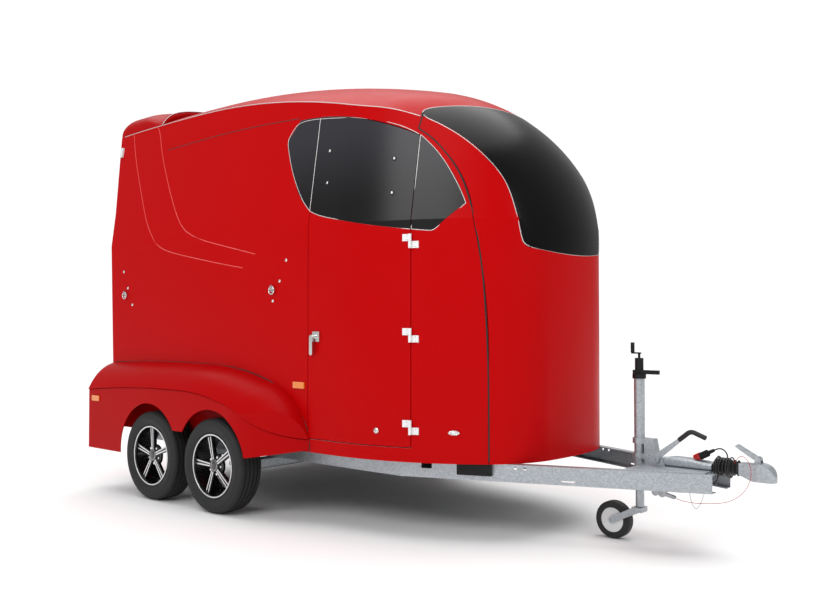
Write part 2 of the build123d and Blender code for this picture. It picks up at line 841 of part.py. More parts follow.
def rail(side):
    """Channel rail that runs straight under the body and bends in to the coupling."""
    with BuildPart() as channel:
        for width, low, high in (
            (rail_web, rail_top_z - rail_height, rail_top_z),
            (rail_flange, rail_top_z - rail_height, rail_top_z - rail_height + rail_web),
            (rail_flange, rail_top_z - rail_web, rail_top_z),
        ):
            shift = width * tan(beam_turn / 2)
            front_in = (beam_front_x, beam_front_half - width / cos(beam_turn))
            with BuildSketch(Plane.XY.offset(low)):
                with BuildLine():
                    Polyline(
                        (rail_rear_x, rail_half), (bend_x, rail_half), (beam_front_x, beam_front_half),
                        front_in, (bend_x - shift, rail_half - width), (rail_rear_x, rail_half - width), close=True,
                    )
                make_face()
            extrude(amount=high - low)
        with BuildSketch(beam_face()):
            for along, height, length, tall, corner in web_openings:
                with Locations((-along, height)):
                    RectangleRounded(length, tall, corner)
        extrude(amount=-rail_web, mode=Mode.SUBTRACT)
        if side < 0:
            mirror(about=Plane.XZ, mode=Mode.REPLACE)
    return channel.part


left_rail = rail(1)
save(left_rail, "left_rail")
right_rail = rail(-1)
save(right_rail, "right_rail")

# Steps on the beams under the nose
with BuildPart() as beam_steps:
    with BuildSketch(beam_face()):
        with Locations((-step_place, (step_low + rail_top_z) / 2)):
            RectangleRounded(step_length, rail_top_z - step_low, 3)
    extrude(amount=step_depth)
    mirror(about=Plane.XZ)
save(beam_steps.part, "beam_steps")

# Cross members between the rails' webs, and the plate that joins the beams in front
with BuildPart() as cross_members:
    for place in cross_places:
        half = rail_half - rail_web
        with BuildSketch(Plane.XY.offset(rail_top_z - rail_web - cross_height)):
            with Locations((axle_x + place, 0)):
                Rectangle(cross_width, 2 * half)
        extrude(amount=cross_height)
save(cross_members.part, "cross_members")

housing_low = rail_top_z + plate_thickness
with BuildPart() as front_plate:
    with BuildSketch(Plane.XY.offset(rail_top_z)):
        with BuildLine():
            rear_y = beam_front_half + plate_length * tan(beam_turn) - 6
            Polyline(
                (beam_front_x - plate_length, -rear_y), (housing_front_x, -beam_front_half - 2),
                (housing_front_x, beam_front_half + 2), (beam_front_x - plate_length, rear_y), close=True,
            )
        make_face()
    extrude(amount=plate_thickness)
    with BuildSketch(Plane.XZ.offset(lever_y - bracket_thickness)):
        with BuildLine():
            Polyline(
                (lever_axis[0] - 50, housing_low), (lever_axis[0] + 60, housing_low),
                (lever_axis[0] + 30, lever_axis[1] + 20), (lever_axis[0] - 22, lever_axis[1] + 20), close=True,
            )
        make_face()
    extrude(amount=bracket_thickness - 1)
    with BuildSketch(Plane.XZ.offset(lever_y - bracket_thickness)):
        with Locations(lever_axis):
            Circle(lever_pin_radius)
    extrude(amount=bracket_thickness + lever_thickness + 4)
save(front_plate.part, "front_plate")


def axle(place):
    """Torsion axle: tube under the rails, a trailing arm at each end and its stub."""
    tube_z = rail_top_z - rail_height - axle_tube / 2
    with BuildPart() as beam:
        with BuildSketch(Plane.XZ.offset(-(drum_inner_y - arm_width))):
            with Locations((place + arm_length, tube_z)):
                RectangleRounded(axle_tube, axle_tube, 12)
        extrude(amount=2 * (drum_inner_y - arm_width))
        for side in (-1, 1):
            with BuildSketch(Plane.XZ.offset(-side * drum_inner_y)):
                with Locations((place + arm_length, tube_z)):
                    Circle(axle_tube / 2 - 1)
                with Locations((place, tyre_radius)):
                    Circle(arm_width / 2 + 6)
                make_hull()
            extrude(amount=side * arm_width)
            with BuildSketch(Plane.XZ.offset(-side * drum_inner_y)):
                with Locations((place, tyre_radius)):
                    Circle(stub_radius)
            extrude(amount=-side * (drum_width - 6))
    return beam.part


with BuildPart() as axles:
    add(axle(axle_x))
    add(axle(axle_x - axle_spacing))
save(axles.part, "axles")

# One wheel, centred on the Y axis at the origin with its face outwards along -Y
with BuildPart() as tyre:
    with BuildSketch(Plane.XY) as tyre_section:
        with BuildLine():
            half = tyre_width / 2
            bead = rim_width / 2 - rim_lip_width - 1
            Polyline((rim_radius, -bead), (rim_radius, bead), (rim_lip_radius + 2, bead))
            ThreePointArc((rim_lip_radius + 2, bead), (252, half), (290, half - 12))
            ThreePointArc((290, half - 12), (303, half - 20), (tyre_radius - 1, half - 34))
            ThreePointArc((tyre_radius - 1, half - 34), (tyre_radius, 0), (tyre_radius - 1, 34 - half))
            ThreePointArc((tyre_radius - 1, 34 - half), (303, 20 - half), (290, 12 - half))
            ThreePointArc((290, 12 - half), (252, -half), (rim_lip_radius + 2, -bead))
            Line((rim_lip_radius + 2, -bead), (rim_radius, -bead))
        make_face()
    revolve(axis=Axis.Y)

with BuildPart() as rim:
    with BuildSketch(Plane.XY):
        with BuildLine():
            half = rim_width / 2
            Polyline(
                (rim_radius - rim_barrel, -half), (rim_lip_radius, -half), (rim_lip_radius, rim_lip_width - half),
                (rim_radius, rim_lip_width - half), (rim_radius, half - rim_lip_width),
                (rim_lip_radius, half - rim_lip_width), (rim_lip_radius, half), (rim_radius - rim_barrel, half),
                close=True,
            )
        make_face()
    revolve(axis=Axis.Y)
    with BuildSketch(Plane.XZ.offset(spoke_face - spoke_depth)) as spokes:
        Circle(hub_radius)
        reach = rim_radius - rim_barrel / 2
        for pair in range(spoke_pairs):
            with Locations(Location((0, 0, 0), (0, 0, 90 + pair * 360 / spoke_pairs))):
                for side in (-1, 1):
                    inner, outer = (side * gap for gap in spoke_gap)
                    width = side * spoke_width
                    Polygon((0, inner), (0, inner + width), (reach, outer + width), (reach, outer), align=None)
    extrude(amount=spoke_depth)
    with BuildSketch(Plane.XZ.offset(drum_outer_y - track_half)):
        Circle(hub_radius)
    extrude(amount=spoke_face - drum_outer_y + track_half)

    with BuildSketch(Plane.XZ.offset(drum_inner_y + drum_gap - track_half)):
        Circle(drum_radius)
        Circle(stub_radius + running_fit, mode=Mode.SUBTRACT)
    extrude(amount=drum_width - drum_gap)

for end, place in (("front", axle_x), ("rear", axle_x - axle_spacing)):
    for side_name, turn in (("right", 0), ("left", 180)):
        spot = Location((place, -track_half if turn == 0 else track_half, tyre_radius), (0, 0, turn))
        for piece, kind in ((tyre, "tyre"), (rim, "rim")):
            save(piece.part.moved(spot), f"{end}_{side_name}_{kind}")


def plate_on_skin(low, high, rear, front, thickness):
    """Flat fitting that follows the right-hand wall, between heights and places."""
    with BuildPart() as plate:
        add(walls_form(-thickness))
        add(walls_outer, mode=Mode.SUBTRACT)
        extrude(side_band(rear, front, low, high), amount=arch_half + wall, mode=Mode.INTERSECT)
    return plate.part


def both_sides(part):
    return (part, mirror(part, about=Plane.XZ, mode=Mode.PRIVATE))


# Groom's door hinges: a leaf and knuckle on the door over a leaf, knuckle and pin on the wall
cheek_y = body_half - cheek_radius
hinge_turn = asin((door_front_x - door_gap / 2 - straight_end_x) / cheek_radius)
hinge_axis = (
    straight_end_x + (cheek_radius + hinge_off) * sin(hinge_turn),
    -cheek_y - (cheek_radius + hinge_off) * cos(hinge_turn),
)
knuckle_web = hinge_off - 1


def hinge_half(low, leaf_rear, leaf_front, bore):
    """Leaf on the skin with a knuckle on the hinge line, one knuckle high."""
    with BuildPart() as half:
        add(plate_on_skin(low, low + hinge_knuckle, leaf_rear, leaf_front, hinge_leaf))
        with BuildSketch(Plane.XY.offset(low)):
            with Locations(hinge_axis):
                Circle(hinge_knuckle_radius)
            with Locations(Location((*hinge_axis, 0), (0, 0, 90 + degrees(hinge_turn)))):
                with Locations((knuckle_web / 2, 0)):
                    Rectangle(knuckle_web, hinge_knuckle_radius)
        extrude(amount=hinge_knuckle)
        if bore:
            with BuildSketch(Plane.XY.offset(low)):
                with Locations(hinge_axis):
                    Circle(bore)
            extrude(amount=hinge_knuckle, mode=Mode.SUBTRACT)
    return half.part


with BuildPart() as door_hinges:
    for height in hinge_heights:
        leaf_rear = door_front_edge - hinge_leaf_length
        add(hinge_half(height, leaf_rear, door_front_x - leaf_overhang, hinge_pin_radius + running_fit))
save(door_hinges.part, "door_hinges")

with BuildPart() as wall_hinges:
    for height in hinge_heights:
        low = height - hinge_knuckle - hinge_play
        add(hinge_half(low, door_front_edge + leaf_overhang, door_front_x + hinge_leaf_length, 0))
        with BuildSketch(Plane.XY.offset(low)):
            with Locations(hinge_axis):
                Circle(hinge_pin_radius)
        extrude(amount=2 * hinge_knuckle + hinge_play)
save(wall_hinges.part, "wall_hinges")

# Door handle: a plate with a hanging grip
with BuildPart() as door_handle:
    add(plate_on_skin(1125, 1187, axle_x + 754, axle_x + 814, 12))
    with BuildSketch(Plane.XZ.offset(body_half + 11)):
        with Locations((axle_x + 770, 1156)):
            Circle(15)
    extrude(amount=14)
    with BuildSketch(Plane.XZ.offset(body_half + 20)):
        with Locations((axle_x + 760, 1104)):
            RectangleRounded(26, 124, 12)
    extrude(amount=12)
save(door_handle.part, "door_handle")

# Lamps: amber markers on the walls and fenders, clear position lamps, red rear lamps
with BuildPart() as side_markers:
    for y, place, height, size in (
        (body_half, axle_x + 624, 852, (100, 40, 9)),
        (fender_half - skirt_step, axle_x - 1381, 675, (98, 40, 8)),
    ):
        with BuildSketch(Plane.XZ.offset(y)):
            with Locations((place, height)):
                RectangleRounded(size[0], size[1], 5)
        extrude(amount=size[2])
    mirror(about=Plane.XZ)
save(side_markers.part, "side_markers")

with BuildPart() as position_lamps:
    for lamp in both_sides(plate_on_skin(2556, 2632, axle_x - 1606, axle_x - 1574, 14)):
        add(lamp)
save(position_lamps.part, "position_lamps")

with BuildPart() as rear_lamps:
    with BuildSketch(Plane.YZ.offset(fender_rear_x)):
        with Locations((1040, 590)):
            RectangleRounded(150, 210, 18)
        mirror(about=Plane.YZ)
    extrude(amount=-14)
save(rear_lamps.part, "rear_lamps")

# Rope rings on round plates
with BuildPart() as rope_rings:
    for place in (axle_x - 1342, axle_x + 371):
        with BuildSketch(Plane.XZ.offset(body_half)):
            with Locations((place, 1456)):
                Circle(20)
        extrude(amount=7)
        with BuildSketch(Plane.XZ.offset(body_half + 6)):
            with Locations((place, 1470)):
                RectangleRounded(16, 22, 4)
        extrude(amount=12)
        with BuildSketch(Plane(origin=(place, -body_half - 13, 1448), x_dir=(1, 0, 0), z_dir=(0, 0, 1))):
            with Locations((24, 0)):
                Circle(4.5)
        revolve(axis=Axis((place, -body_half - 13, 1448), (0, 1, 0)))
    mirror(about=Plane.XZ)
save(rope_rings.part, "rope_rings")

# Overrun housing on the plate, the tow tube through it and the bellows between housing and head
with BuildPart() as overrun_housing:
    with BuildSketch(Plane.XZ.offset(-housing_width / 2)):
        with BuildLine():
            Polyline(
                (housing_rear_x, housing_low), (housing_front_x, housing_low), (housing_front_x, housing_shoulder_z),
                (housing_front_x - 150, housing_top_z), (housing_rear_x + 60, housing_top_z),
                (housing_rear_x, housing_shoulder_z), close=True,
            )
        make_face()
    extrude(amount=housing_width)
    fillet(overrun_housing.edges().filter_by(Axis.X), 14)
    with BuildSketch(Plane.YZ.offset(housing_rear_x)):
        with Locations((0, tow_z)):
            Circle(tow_tube_radius)
    extrude(amount=tow_tube_front_x - housing_rear_x)
save(overrun_housing.part, "overrun_housing")

with BuildPart() as bellows:
    with BuildSketch(Plane.XZ):
        with BuildLine():
            step = (bellows_front_x - bellows_rear_x) / (2 * bellows_folds)
            crests = []
            for fold in range(bellows_folds):
                crests.append((bellows_rear_x + 2 * fold * step, tow_z + bellows_valley))
                crests.append((bellows_rear_x + (2 * fold + 1) * step, tow_z + bellows_crest))
            crests.append((bellows_front_x, tow_z + bellows_valley))
            Polyline((bellows_rear_x, tow_z + tow_tube_radius), *crests,
                     (bellows_front_x, tow_z + tow_tube_radius), close=True)
        make_face()
    revolve(axis=Axis((0, 0, tow_z), (1, 0, 0)))
save(bellows.part, "bellows")

# Coupling head: sleeve on the tow tube, sloping hood and ball socket open below
with BuildPart() as coupling_head:
    with BuildSketch(Plane.XZ.offset(-coupling_width / 2)):
        with BuildLine():
            low = ball_z - hood_below
            Polyline((bellows_front_x, tow_z - sleeve_radius), (bellows_front_x, tow_z + sleeve_radius),
                     (ball_x - 60, tow_z + sleeve_radius + 2))
            crown = ThreePointArc((ball_x - 60, tow_z + sleeve_radius + 2), (ball_x + 14, tow_z + 18),
                                  (coupling_front_x, low + 14))
            Polyline(crown @ 1, (coupling_front_x, low), (ball_x - 70, low), (bellows_front_x, tow_z - sleeve_radius))
        make_face()
    extrude(amount=coupling_width)
    with BuildSketch(Plane.XY.offset(300)):
        with BuildLine():
            half = coupling_width / 2
            Polyline((bellows_front_x, -sleeve_radius), (ball_x - half, -half), (ball_x, -half))
            ThreePointArc((ball_x, -half), (coupling_front_x, 0), (ball_x, half))
            Polyline((ball_x, half), (ball_x - half, half), (bellows_front_x, sleeve_radius),
                     (bellows_front_x, -sleeve_radius))
        make_face()
    extrude(amount=300, mode=Mode.INTERSECT)
    with Locations((ball_x, 0, ball_z)):
        Sphere(ball_radius + ball_play, mode=Mode.SUBTRACT)
    with BuildSketch(Plane.XY.offset(ball_z)):
        with Locations((ball_x, 0)):
            Circle(ball_radius + ball_play)
    extrude(amount=-120, mode=Mode.SUBTRACT)
    with BuildSketch(Plane.YZ.offset(bellows_front_x)):
        with Locations((0, tow_z)):
            Circle(tow_tube_radius)
    extrude(amount=tow_tube_front_x - bellows_front_x, mode=Mode.SUBTRACT)
    for side in (-1, 1):
        with BuildSketch(Plane.XZ.offset(side * (handle_width / 2 + 1))):
            with Locations(handle_axis):
                Circle(handle_boss_radius)
            with Locations((handle_axis[0], tow_z + sleeve_radius - 12)):
                Rectangle(40, 10)
            make_hull()
        extrude(amount=side * ear_thickness)
    with BuildSketch(Plane.XZ.offset(-handle_width / 2 - 1)):
        with Locations(handle_axis):
            Circle(handle_pin_radius)
    extrude(amount=handle_width + 2)
save(coupling_head.part, "coupling_head")

with BuildPart() as coupling_handle:
    with BuildSketch(Plane.XZ.offset(-handle_width / 2)):
        with BuildLine():
            Polyline(*[(axle_x + x, z) for x, z in handle_side], close=True)
        make_face()
    extrude(amount=handle_width)
    fillet(coupling_handle.edges().filter_by(Axis.Y), 4)
    with BuildSketch(Plane.XZ.offset(-handle_width / 2)):
        with Locations(handle_axis):
            Circle(handle_boss_radius)
    extrude(amount=handle_width)
    with BuildSketch(Plane.XZ.offset(-handle_width / 2)):
        with Locations(handle_axis):
            Circle(handle_pin_radius + running_fit)
    extrude(amount=handle_width, mode=Mode.SUBTRACT)
save(coupling_handle.part, "coupling_handle")

with BuildPart() as handbrake_lever:
    with BuildSketch(Plane.XZ.offset(lever_y)) as blade:
        with BuildLine():
            Polyline(*[(axle_x + x, z) for x, z in lever_side], close=True)
        make_face()
        fillet(blade.vertices(), 6)
        with Locations(lever_axis):
            Circle(28)
            Circle(lever_pin_radius + running_fit, mode=Mode.SUBTRACT)
    extrude(amount=lever_thickness)
save(handbrake_lever.part, "handbrake_lever")

with BuildPart() as handbrake_grip:
    grip = [(axle_x + x, z) for x, z in grip_line]
    with BuildLine(Plane.XZ.offset(lever_y + lever_thickness / 2)) as grip_path:
        FilletPolyline(*grip, radius=38)
    with BuildSketch(Plane(origin=grip_path.line @ 0, z_dir=grip_path.line % 0)):
        Circle(13)
    sweep()
    fillet(handbrake_grip.edges().filter_by(GeomType.CIRCLE), 5)
    add(handbrake_lever.part, mode=Mode.SUBTRACT)
save(handbrake_grip.part, "handbrake_grip")

# Jockey wheel: outer tube in its clamp, collar with a lever, crank, inner tube, fork and wheel
with BuildPart() as jockey_tube:
    with BuildSketch(Plane.XY.offset(jockey_tube_bottom)):
        with Locations((jockey_x, 0)):
            Circle(jockey_outer_radius)
            Circle(jockey_inner_radius + running_fit, mode=Mode.SUBTRACT)
    extrude(amount=jockey_tube_top - jockey_tube_bottom)
save(jockey_tube.part, "jockey_tube")

with BuildPart() as jockey_clamp:
    for low in clamp_heights:
        with BuildSketch(Plane.XY.offset(low)):
            with Locations((jockey_x, 0)):
                Circle(jockey_outer_radius + 9)
            with Locations((jockey_x + 55, 0)):
                Rectangle(80, 56)
            with Locations((jockey_x, 0)):
                Circle(jockey_outer_radius, mode=Mode.SUBTRACT)
        extrude(amount=clamp_height)
    with BuildSketch(Plane.XZ.offset(-28)):
        with BuildLine():
            Polyline(
                (jockey_x + 40, housing_low), (jockey_x + 122, housing_low),
                (jockey_x + 95, clamp_heights[1] + clamp_height), (jockey_x + 40, clamp_heights[1] + clamp_height),
                close=True,
            )
        make_face()
    extrude(amount=56)
save(jockey_clamp.part, "jockey_clamp")

with BuildPart() as jockey_crank:
    with BuildSketch(Plane.XY.offset(jockey_tube_top)):
        with Locations((jockey_x, 0)):
            Circle(jockey_outer_radius + 8)
    extrude(amount=26)
    with BuildSketch(Plane.XY.offset(jockey_tube_top + 26)):
        with Locations((jockey_x + 42, 0)):
            RectangleRounded(160, 34, 14)
    extrude(amount=22)
    with BuildSketch(Plane.XY.offset(jockey_tube_top + 48)):
        with Locations((jockey_x, 0)):
            Circle(24)
    extrude(amount=68)
    with BuildSketch(Plane.XY.offset(jockey_tube_top + 116)):
        with Locations((jockey_x, 0)):
            Circle(7)
    extrude(amount=24)
    with BuildSketch(Plane.XY.offset(jockey_tube_top + 140)):
        with Locations((jockey_x - 18, 0)):
            SlotOverall(62, 16)
    extrude(amount=8)
    with BuildSketch(Plane.XY.offset(jockey_tube_top + 148)):
        with Locations((jockey_x - 40, 0)):
            Circle(11)
    extrude(amount=56)
save(jockey_crank.part, "jockey_crank")

fork_top = jockey_fork_z + fork_height
with BuildPart() as jockey_leg:
    with BuildSketch(Plane.XY.offset(fork_top + 0.5)):
        with Locations((jockey_x, 0)):
            Circle(jockey_inner_radius)
            Circle(swivel_radius + running_fit, mode=Mode.SUBTRACT)
    extrude(amount=jockey_leg_length)
save(jockey_leg.part, "jockey_leg")

with BuildPart() as jockey_fork:
    with BuildSketch(Plane.XY.offset(jockey_fork_z)):
        with Locations((jockey_x - 4, 0)):
            RectangleRounded(64, 2 * fork_half, 8)
    extrude(amount=fork_height)
    with BuildSketch(Plane.XY.offset(fork_top)):
        with Locations((jockey_x, 0)):
            Circle(swivel_radius)
    extrude(amount=70)
    for side in (-1, 1):
        with BuildSketch(Plane.XZ.offset(-side * fork_half)):
            with Locations((jockey_wheel_x, jockey_wheel_radius)):
                Circle(17)
            with Locations((jockey_x - 22, jockey_fork_z + 13)):
                Circle(12)
            with Locations((jockey_x + 10, jockey_fork_z + 13)):
                Circle(12)
            make_hull()
        extrude(amount=side * fork_plate)
    with BuildSketch(Plane.XZ.offset(-fork_half)):
        with Locations((jockey_wheel_x, jockey_wheel_radius)):
            Circle(jockey_axle_radius)
    extrude(amount=2 * fork_half)
save(jockey_fork.part, "jockey_fork")

with BuildPart() as jockey_wheel:
    with BuildSketch(Plane.XZ.offset(-jockey_wheel_width / 2)):
        with Locations((jockey_wheel_x, jockey_wheel_radius)):
            Circle(jockey_wheel_radius)
            Circle(jockey_rim_radius, mode=Mode.SUBTRACT)
    extrude(amount=jockey_wheel_width)
    fillet(jockey_wheel.edges().group_by(SortBy.LENGTH)[-1], 12)
save(jockey_wheel.part, "jockey_tyre")

with BuildPart() as jockey_rim:
    with BuildSketch(Plane.XZ.offset(-jockey_wheel_width / 2 + 3)):
        with Locations((jockey_wheel_x, jockey_wheel_radius)):
            Circle(jockey_rim_radius)
            Circle(jockey_axle_radius + running_fit, mode=Mode.SUBTRACT)
    extrude(amount=jockey_wheel_width - 6)
save(jockey_rim.part, "jockey_rim")


def route_points(route):
    return [(axle_x + x, y, z) for x, y, z in route]


def cord_tube(route, radius):
    """Tube of straight runs joined by arcs, each as large as its two runs allow."""
    points = [Vector(point) for point in route_points(route)]
    runs = [after - before for before, after in zip(points, points[1:])]
    radii = []
    for before, after in zip(runs, runs[1:]):
        half_turn = radians(before.get_angle(after) / 2)
        radii.append(0.45 * min(before.length, after.length) / tan(half_turn))
    print("radii", [round(value) for value in radii])
    with BuildPart() as tube:
        with BuildLine() as path:
            FilletPolyline(*points, radius=radii)
        with BuildSketch(Plane(origin=path.line @ 0, z_dir=path.line % 0)):
            Circle(radius)
        sweep()
    length = path.wire().length
    print("length", round(length), "volume share", round(tube.part.volume / (pi * radius ** 2 * length), 3))
    return tube.part


# Lead wound on the bellows, its two free stretches, its plug and the dock on the housing
with BuildPart() as lead_coil:
    with BuildSketch(Plane.XZ):
        with Locations(((coil_rear_x + coil_front_x) / 2, tow_z + (coil_inner_radius + coil_outer_radius) / 2)):
            RectangleRounded(coil_front_x - coil_rear_x, coil_outer_radius - coil_inner_radius, lead_radius)
    revolve(axis=Axis((0, 0, tow_z), (1, 0, 0)))
save(lead_coil.part, "lead_coil")

with BuildPart() as lead:
    add(cord_tube(lead_to_coil, lead_radius))
    add(cord_tube(lead_to_plate, lead_radius))
    add(lead_coil.part, mode=Mode.SUBTRACT)
save(lead.part, "lead")

plug_axis = (cos(radians(plug_slope)), 0, sin(radians(plug_slope)))
plug_plane = Plane(origin=(plug_x, 0, plug_z), x_dir=(0, 1, 0), z_dir=plug_axis)
with BuildPart() as lead_plug:
    with BuildSketch(plug_plane):
        Circle(plug_radius)
    extrude(amount=plug_collar)
    with BuildSketch(plug_plane.offset(plug_collar)):
        Circle(plug_nose_radius)
    extrude(amount=plug_length - plug_collar, taper=4)
save(lead_plug.part, "lead_plug")

with BuildPart() as plug_dock:
    with BuildSketch(plug_plane):
        Circle(dock_radius)
    extrude(amount=-dock_length)
    split(bisect_by=Plane.XY.offset(housing_top_z), keep=Keep.TOP)
save(plug_dock.part, "plug_dock")

save(cord_tube(breakaway_route, cable_radius), "breakaway_cable")
save(cord_tube(hook_route, hook_radius), "wire_hook")

# Brake cams under the plate, and the rod that runs back to the front axle
with BuildPart() as brake_cams:
    with BuildSketch(Plane.XZ.offset(-cam_half)):
        for (x, z, radius), (next_x, next_z, next_radius) in zip(cam_discs, cam_discs[1:]):
            with Locations((axle_x + x, z)):
                Circle(radius)
            with Locations((axle_x + next_x, next_z)):
                Circle(next_radius)
        with Locations((axle_x + (cam_discs[1][0] + cam_discs[2][0]) / 2, (cam_discs[1][1] + cam_discs[2][1]) / 2)):
            Rectangle(cam_discs[2][0] - cam_discs[1][0], 2 * cam_discs[2][2], rotation=-12)
        with BuildLine():
            Polyline(*[(axle_x + x, z) for x, z in cam_hanger], close=True)
        make_face()
    extrude(amount=2 * cam_half)
save(brake_cams.part, "brake_cams")

with BuildPart() as brake_rod:
    with BuildSketch(Plane.YZ.offset(axle_x + arm_length + axle_tube / 2)):
        with Locations((rod_y, rail_top_z - rail_height - axle_tube / 2 + 12)):
            Circle(rod_radius)
    extrude(amount=2380)
save(brake_rod.part, "brake_rod")
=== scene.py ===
import json
import math

import bmesh
import bpy
from mathutils import Matrix, Vector


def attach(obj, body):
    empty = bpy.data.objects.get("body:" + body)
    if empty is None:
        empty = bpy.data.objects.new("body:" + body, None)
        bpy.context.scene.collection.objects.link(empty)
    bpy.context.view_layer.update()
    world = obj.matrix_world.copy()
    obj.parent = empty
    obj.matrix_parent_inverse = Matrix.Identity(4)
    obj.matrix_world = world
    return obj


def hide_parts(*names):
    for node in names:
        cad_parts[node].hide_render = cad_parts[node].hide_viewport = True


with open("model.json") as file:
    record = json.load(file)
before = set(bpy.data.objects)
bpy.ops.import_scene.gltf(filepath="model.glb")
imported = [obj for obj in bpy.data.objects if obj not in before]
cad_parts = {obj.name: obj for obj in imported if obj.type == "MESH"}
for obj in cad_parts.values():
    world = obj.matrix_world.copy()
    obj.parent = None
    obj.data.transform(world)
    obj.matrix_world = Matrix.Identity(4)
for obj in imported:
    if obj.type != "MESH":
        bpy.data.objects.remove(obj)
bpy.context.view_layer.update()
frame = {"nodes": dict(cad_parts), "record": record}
nodes = frame["nodes"]

# Body sizes in metres: half width, where the straight sides end, the leaning upper walls
body_half = 0.925
straight_end_x = 0.165
shoulder_z = 1.833
lean = math.radians(8.75)
cheek_radius = 1.38
corner_radius = 0.53
cheek_turn = math.radians(40)
corner_turn = math.radians(83)
cheek_y = body_half - cheek_radius
corner_x = straight_end_x + (cheek_radius - corner_radius) * math.sin(cheek_turn)
corner_y = cheek_y + (cheek_radius - corner_radius) * math.cos(cheek_turn)
tip_reach = corner_y / math.cos(corner_turn)
tip_x = corner_x - tip_reach * math.sin(corner_turn)

# Roof arcs in side view: where each ends, its centre and its radius; and the roof's crown across
crown_x = -1.298
crown_z = 2.959
brow_radius = 6.994
brow_turn = math.radians(14.24)
nose_radius = 1.1
arch_radius = 1.61
brow_end_x = crown_x + brow_radius * math.sin(brow_turn)
nose_arc_x = crown_x + (brow_radius - nose_radius) * math.sin(brow_turn)
nose_arc_z = crown_z - brow_radius + (brow_radius - nose_radius) * math.cos(brow_turn)
roof_arcs = (
    (crown_x, crown_x, crown_z - 22.235, 22.235),
    (brow_end_x, crown_x, crown_z - brow_radius, brow_radius),
    (9, nose_arc_x, nose_arc_z, nose_radius),
)

# Wheels
axle_x = -0.785
axle_spacing = 0.7
track_half = 1.036
tyre_radius = 0.308


def skin_y(x, z):
    """Distance from the centre plane to the body's skin."""
    inset = max(0, z - shoulder_z) * math.tan(lean)
    if x <= straight_end_x:
        return body_half - inset
    sine = (x - straight_end_x) / (cheek_radius - inset)
    if sine <= math.sin(cheek_turn):
        return cheek_y + (cheek_radius - inset) * math.sqrt(1 - sine ** 2)
    sine = (x - corner_x) / (corner_radius - inset)
    if sine <= math.sin(corner_turn):
        return corner_y + (corner_radius - inset) * math.sqrt(1 - sine ** 2)
    reach = tip_reach + corner_radius - inset
    return math.sqrt(max(0, reach ** 2 - (x - tip_x) ** 2))


def roof_z(x, y):
    """Height of the roof's skin above a point of the plan."""
    for end, centre_x, centre_z, radius in roof_arcs:
        if x <= end:
            across = radius - arch_radius + math.sqrt(arch_radius ** 2 - y ** 2)
            return centre_z + math.sqrt(max(0, across ** 2 - (x - centre_x) ** 2))


def side_point(x, z, proud=0):
    """Point on the right-hand wall, or a little outside it, with x measured from the front axle."""
    place = axle_x + x
    slope = (skin_y(place + 0.01, z) - skin_y(place - 0.01, z)) / 0.02
    normal = Vector((-slope, -1, math.tan(lean) if z > shoulder_z else 0)).normalized()
    return Vector((place, -skin_y(place, z), z)) + normal * proud, normal


# Camera at the photograph's viewpoint
camera_data = bpy.data.cameras.new("camera")
camera_data.lens = 38.7
camera = bpy.data.objects.new("camera", camera_data)
bpy.context.scene.collection.objects.link(camera)
camera.location = (3.988, -4.694, 1.249)
camera.rotation_euler = (math.radians(91.377), 0, math.radians(40.41))
bpy.context.scene.camera = camera
bpy.context.scene.view_settings.view_transform = "Standard"


def linear(colour):
    """Linear colour of an sRGB hex value."""
    channels = [int(colour[place:place + 2], 16) / 255 for place in (1, 3, 5)]
    return [c / 12.92 if c <= 0.04045 else ((c + 0.055) / 1.055) ** 2.4 for c in channels] + [1]


def add_node(tree, kind, values=None, links=None, **settings):
    """Adds a node with its settings, its sockets' values and its links from other nodes' outputs."""
    node = tree.nodes.new(kind)
    for name, value in settings.items():
        setattr(node, name, value)
    for socket, value in (values or {}).items():
        node.inputs[socket].default_value = value
    for socket, output in (links or {}).items():
        tree.links.new(output, node.inputs[socket])
    return node


def start_material(name, colour, **values):
    """New material with its shader's fixed values; gives the material, its tree, shader and coordinates."""
    material = bpy.data.materials.new(name)
    material.use_nodes = True
    tree = material.node_tree
    shader = tree.nodes["Principled BSDF"]
    shader.inputs["Base Color"].default_value = linear(colour)
    for socket, value in values.items():
        shader.inputs[socket.replace("_", " ")].default_value = value
    place = add_node(tree, "ShaderNodeTexCoord")
    return material, tree, shader, place


def mottle(tree, shader, place, size, roughness, colours=None, bump=0, detail=3):
    """Uneven finish from noise of a real size: roughness range, two colours, and bump height in metres."""
    noise = add_node(
        tree, "ShaderNodeTexNoise", {"Scale": 1 / size, "Detail": detail}, {"Vector": place.outputs["Object"]}
    )
    spread = add_node(
        tree, "ShaderNodeMapRange",
        {"From Min": 0.3, "From Max": 0.7, "To Min": roughness[0], "To Max": roughness[1]},
        {"Value": noise.outputs["Fac"]},
    )
    tree.links.new(spread.outputs["Result"], shader.inputs["Roughness"])
    if colours:
        mix = add_node(tree, "ShaderNodeMix", links={0: noise.outputs["Fac"]}, data_type="RGBA")
        mix.inputs[6].default_value = linear(colours[0])
        mix.inputs[7].default_value = linear(colours[1])
        tree.links.new(mix.outputs[2], shader.inputs["Base Color"])
    if bump:
        relief = add_node(
            tree, "ShaderNodeBump", {"Strength": 1, "Distance": bump}, {"Height": noise.outputs["Fac"]}
        )
        tree.links.new(relief.outputs["Normal"], shader.inputs["Normal"])
    return noise


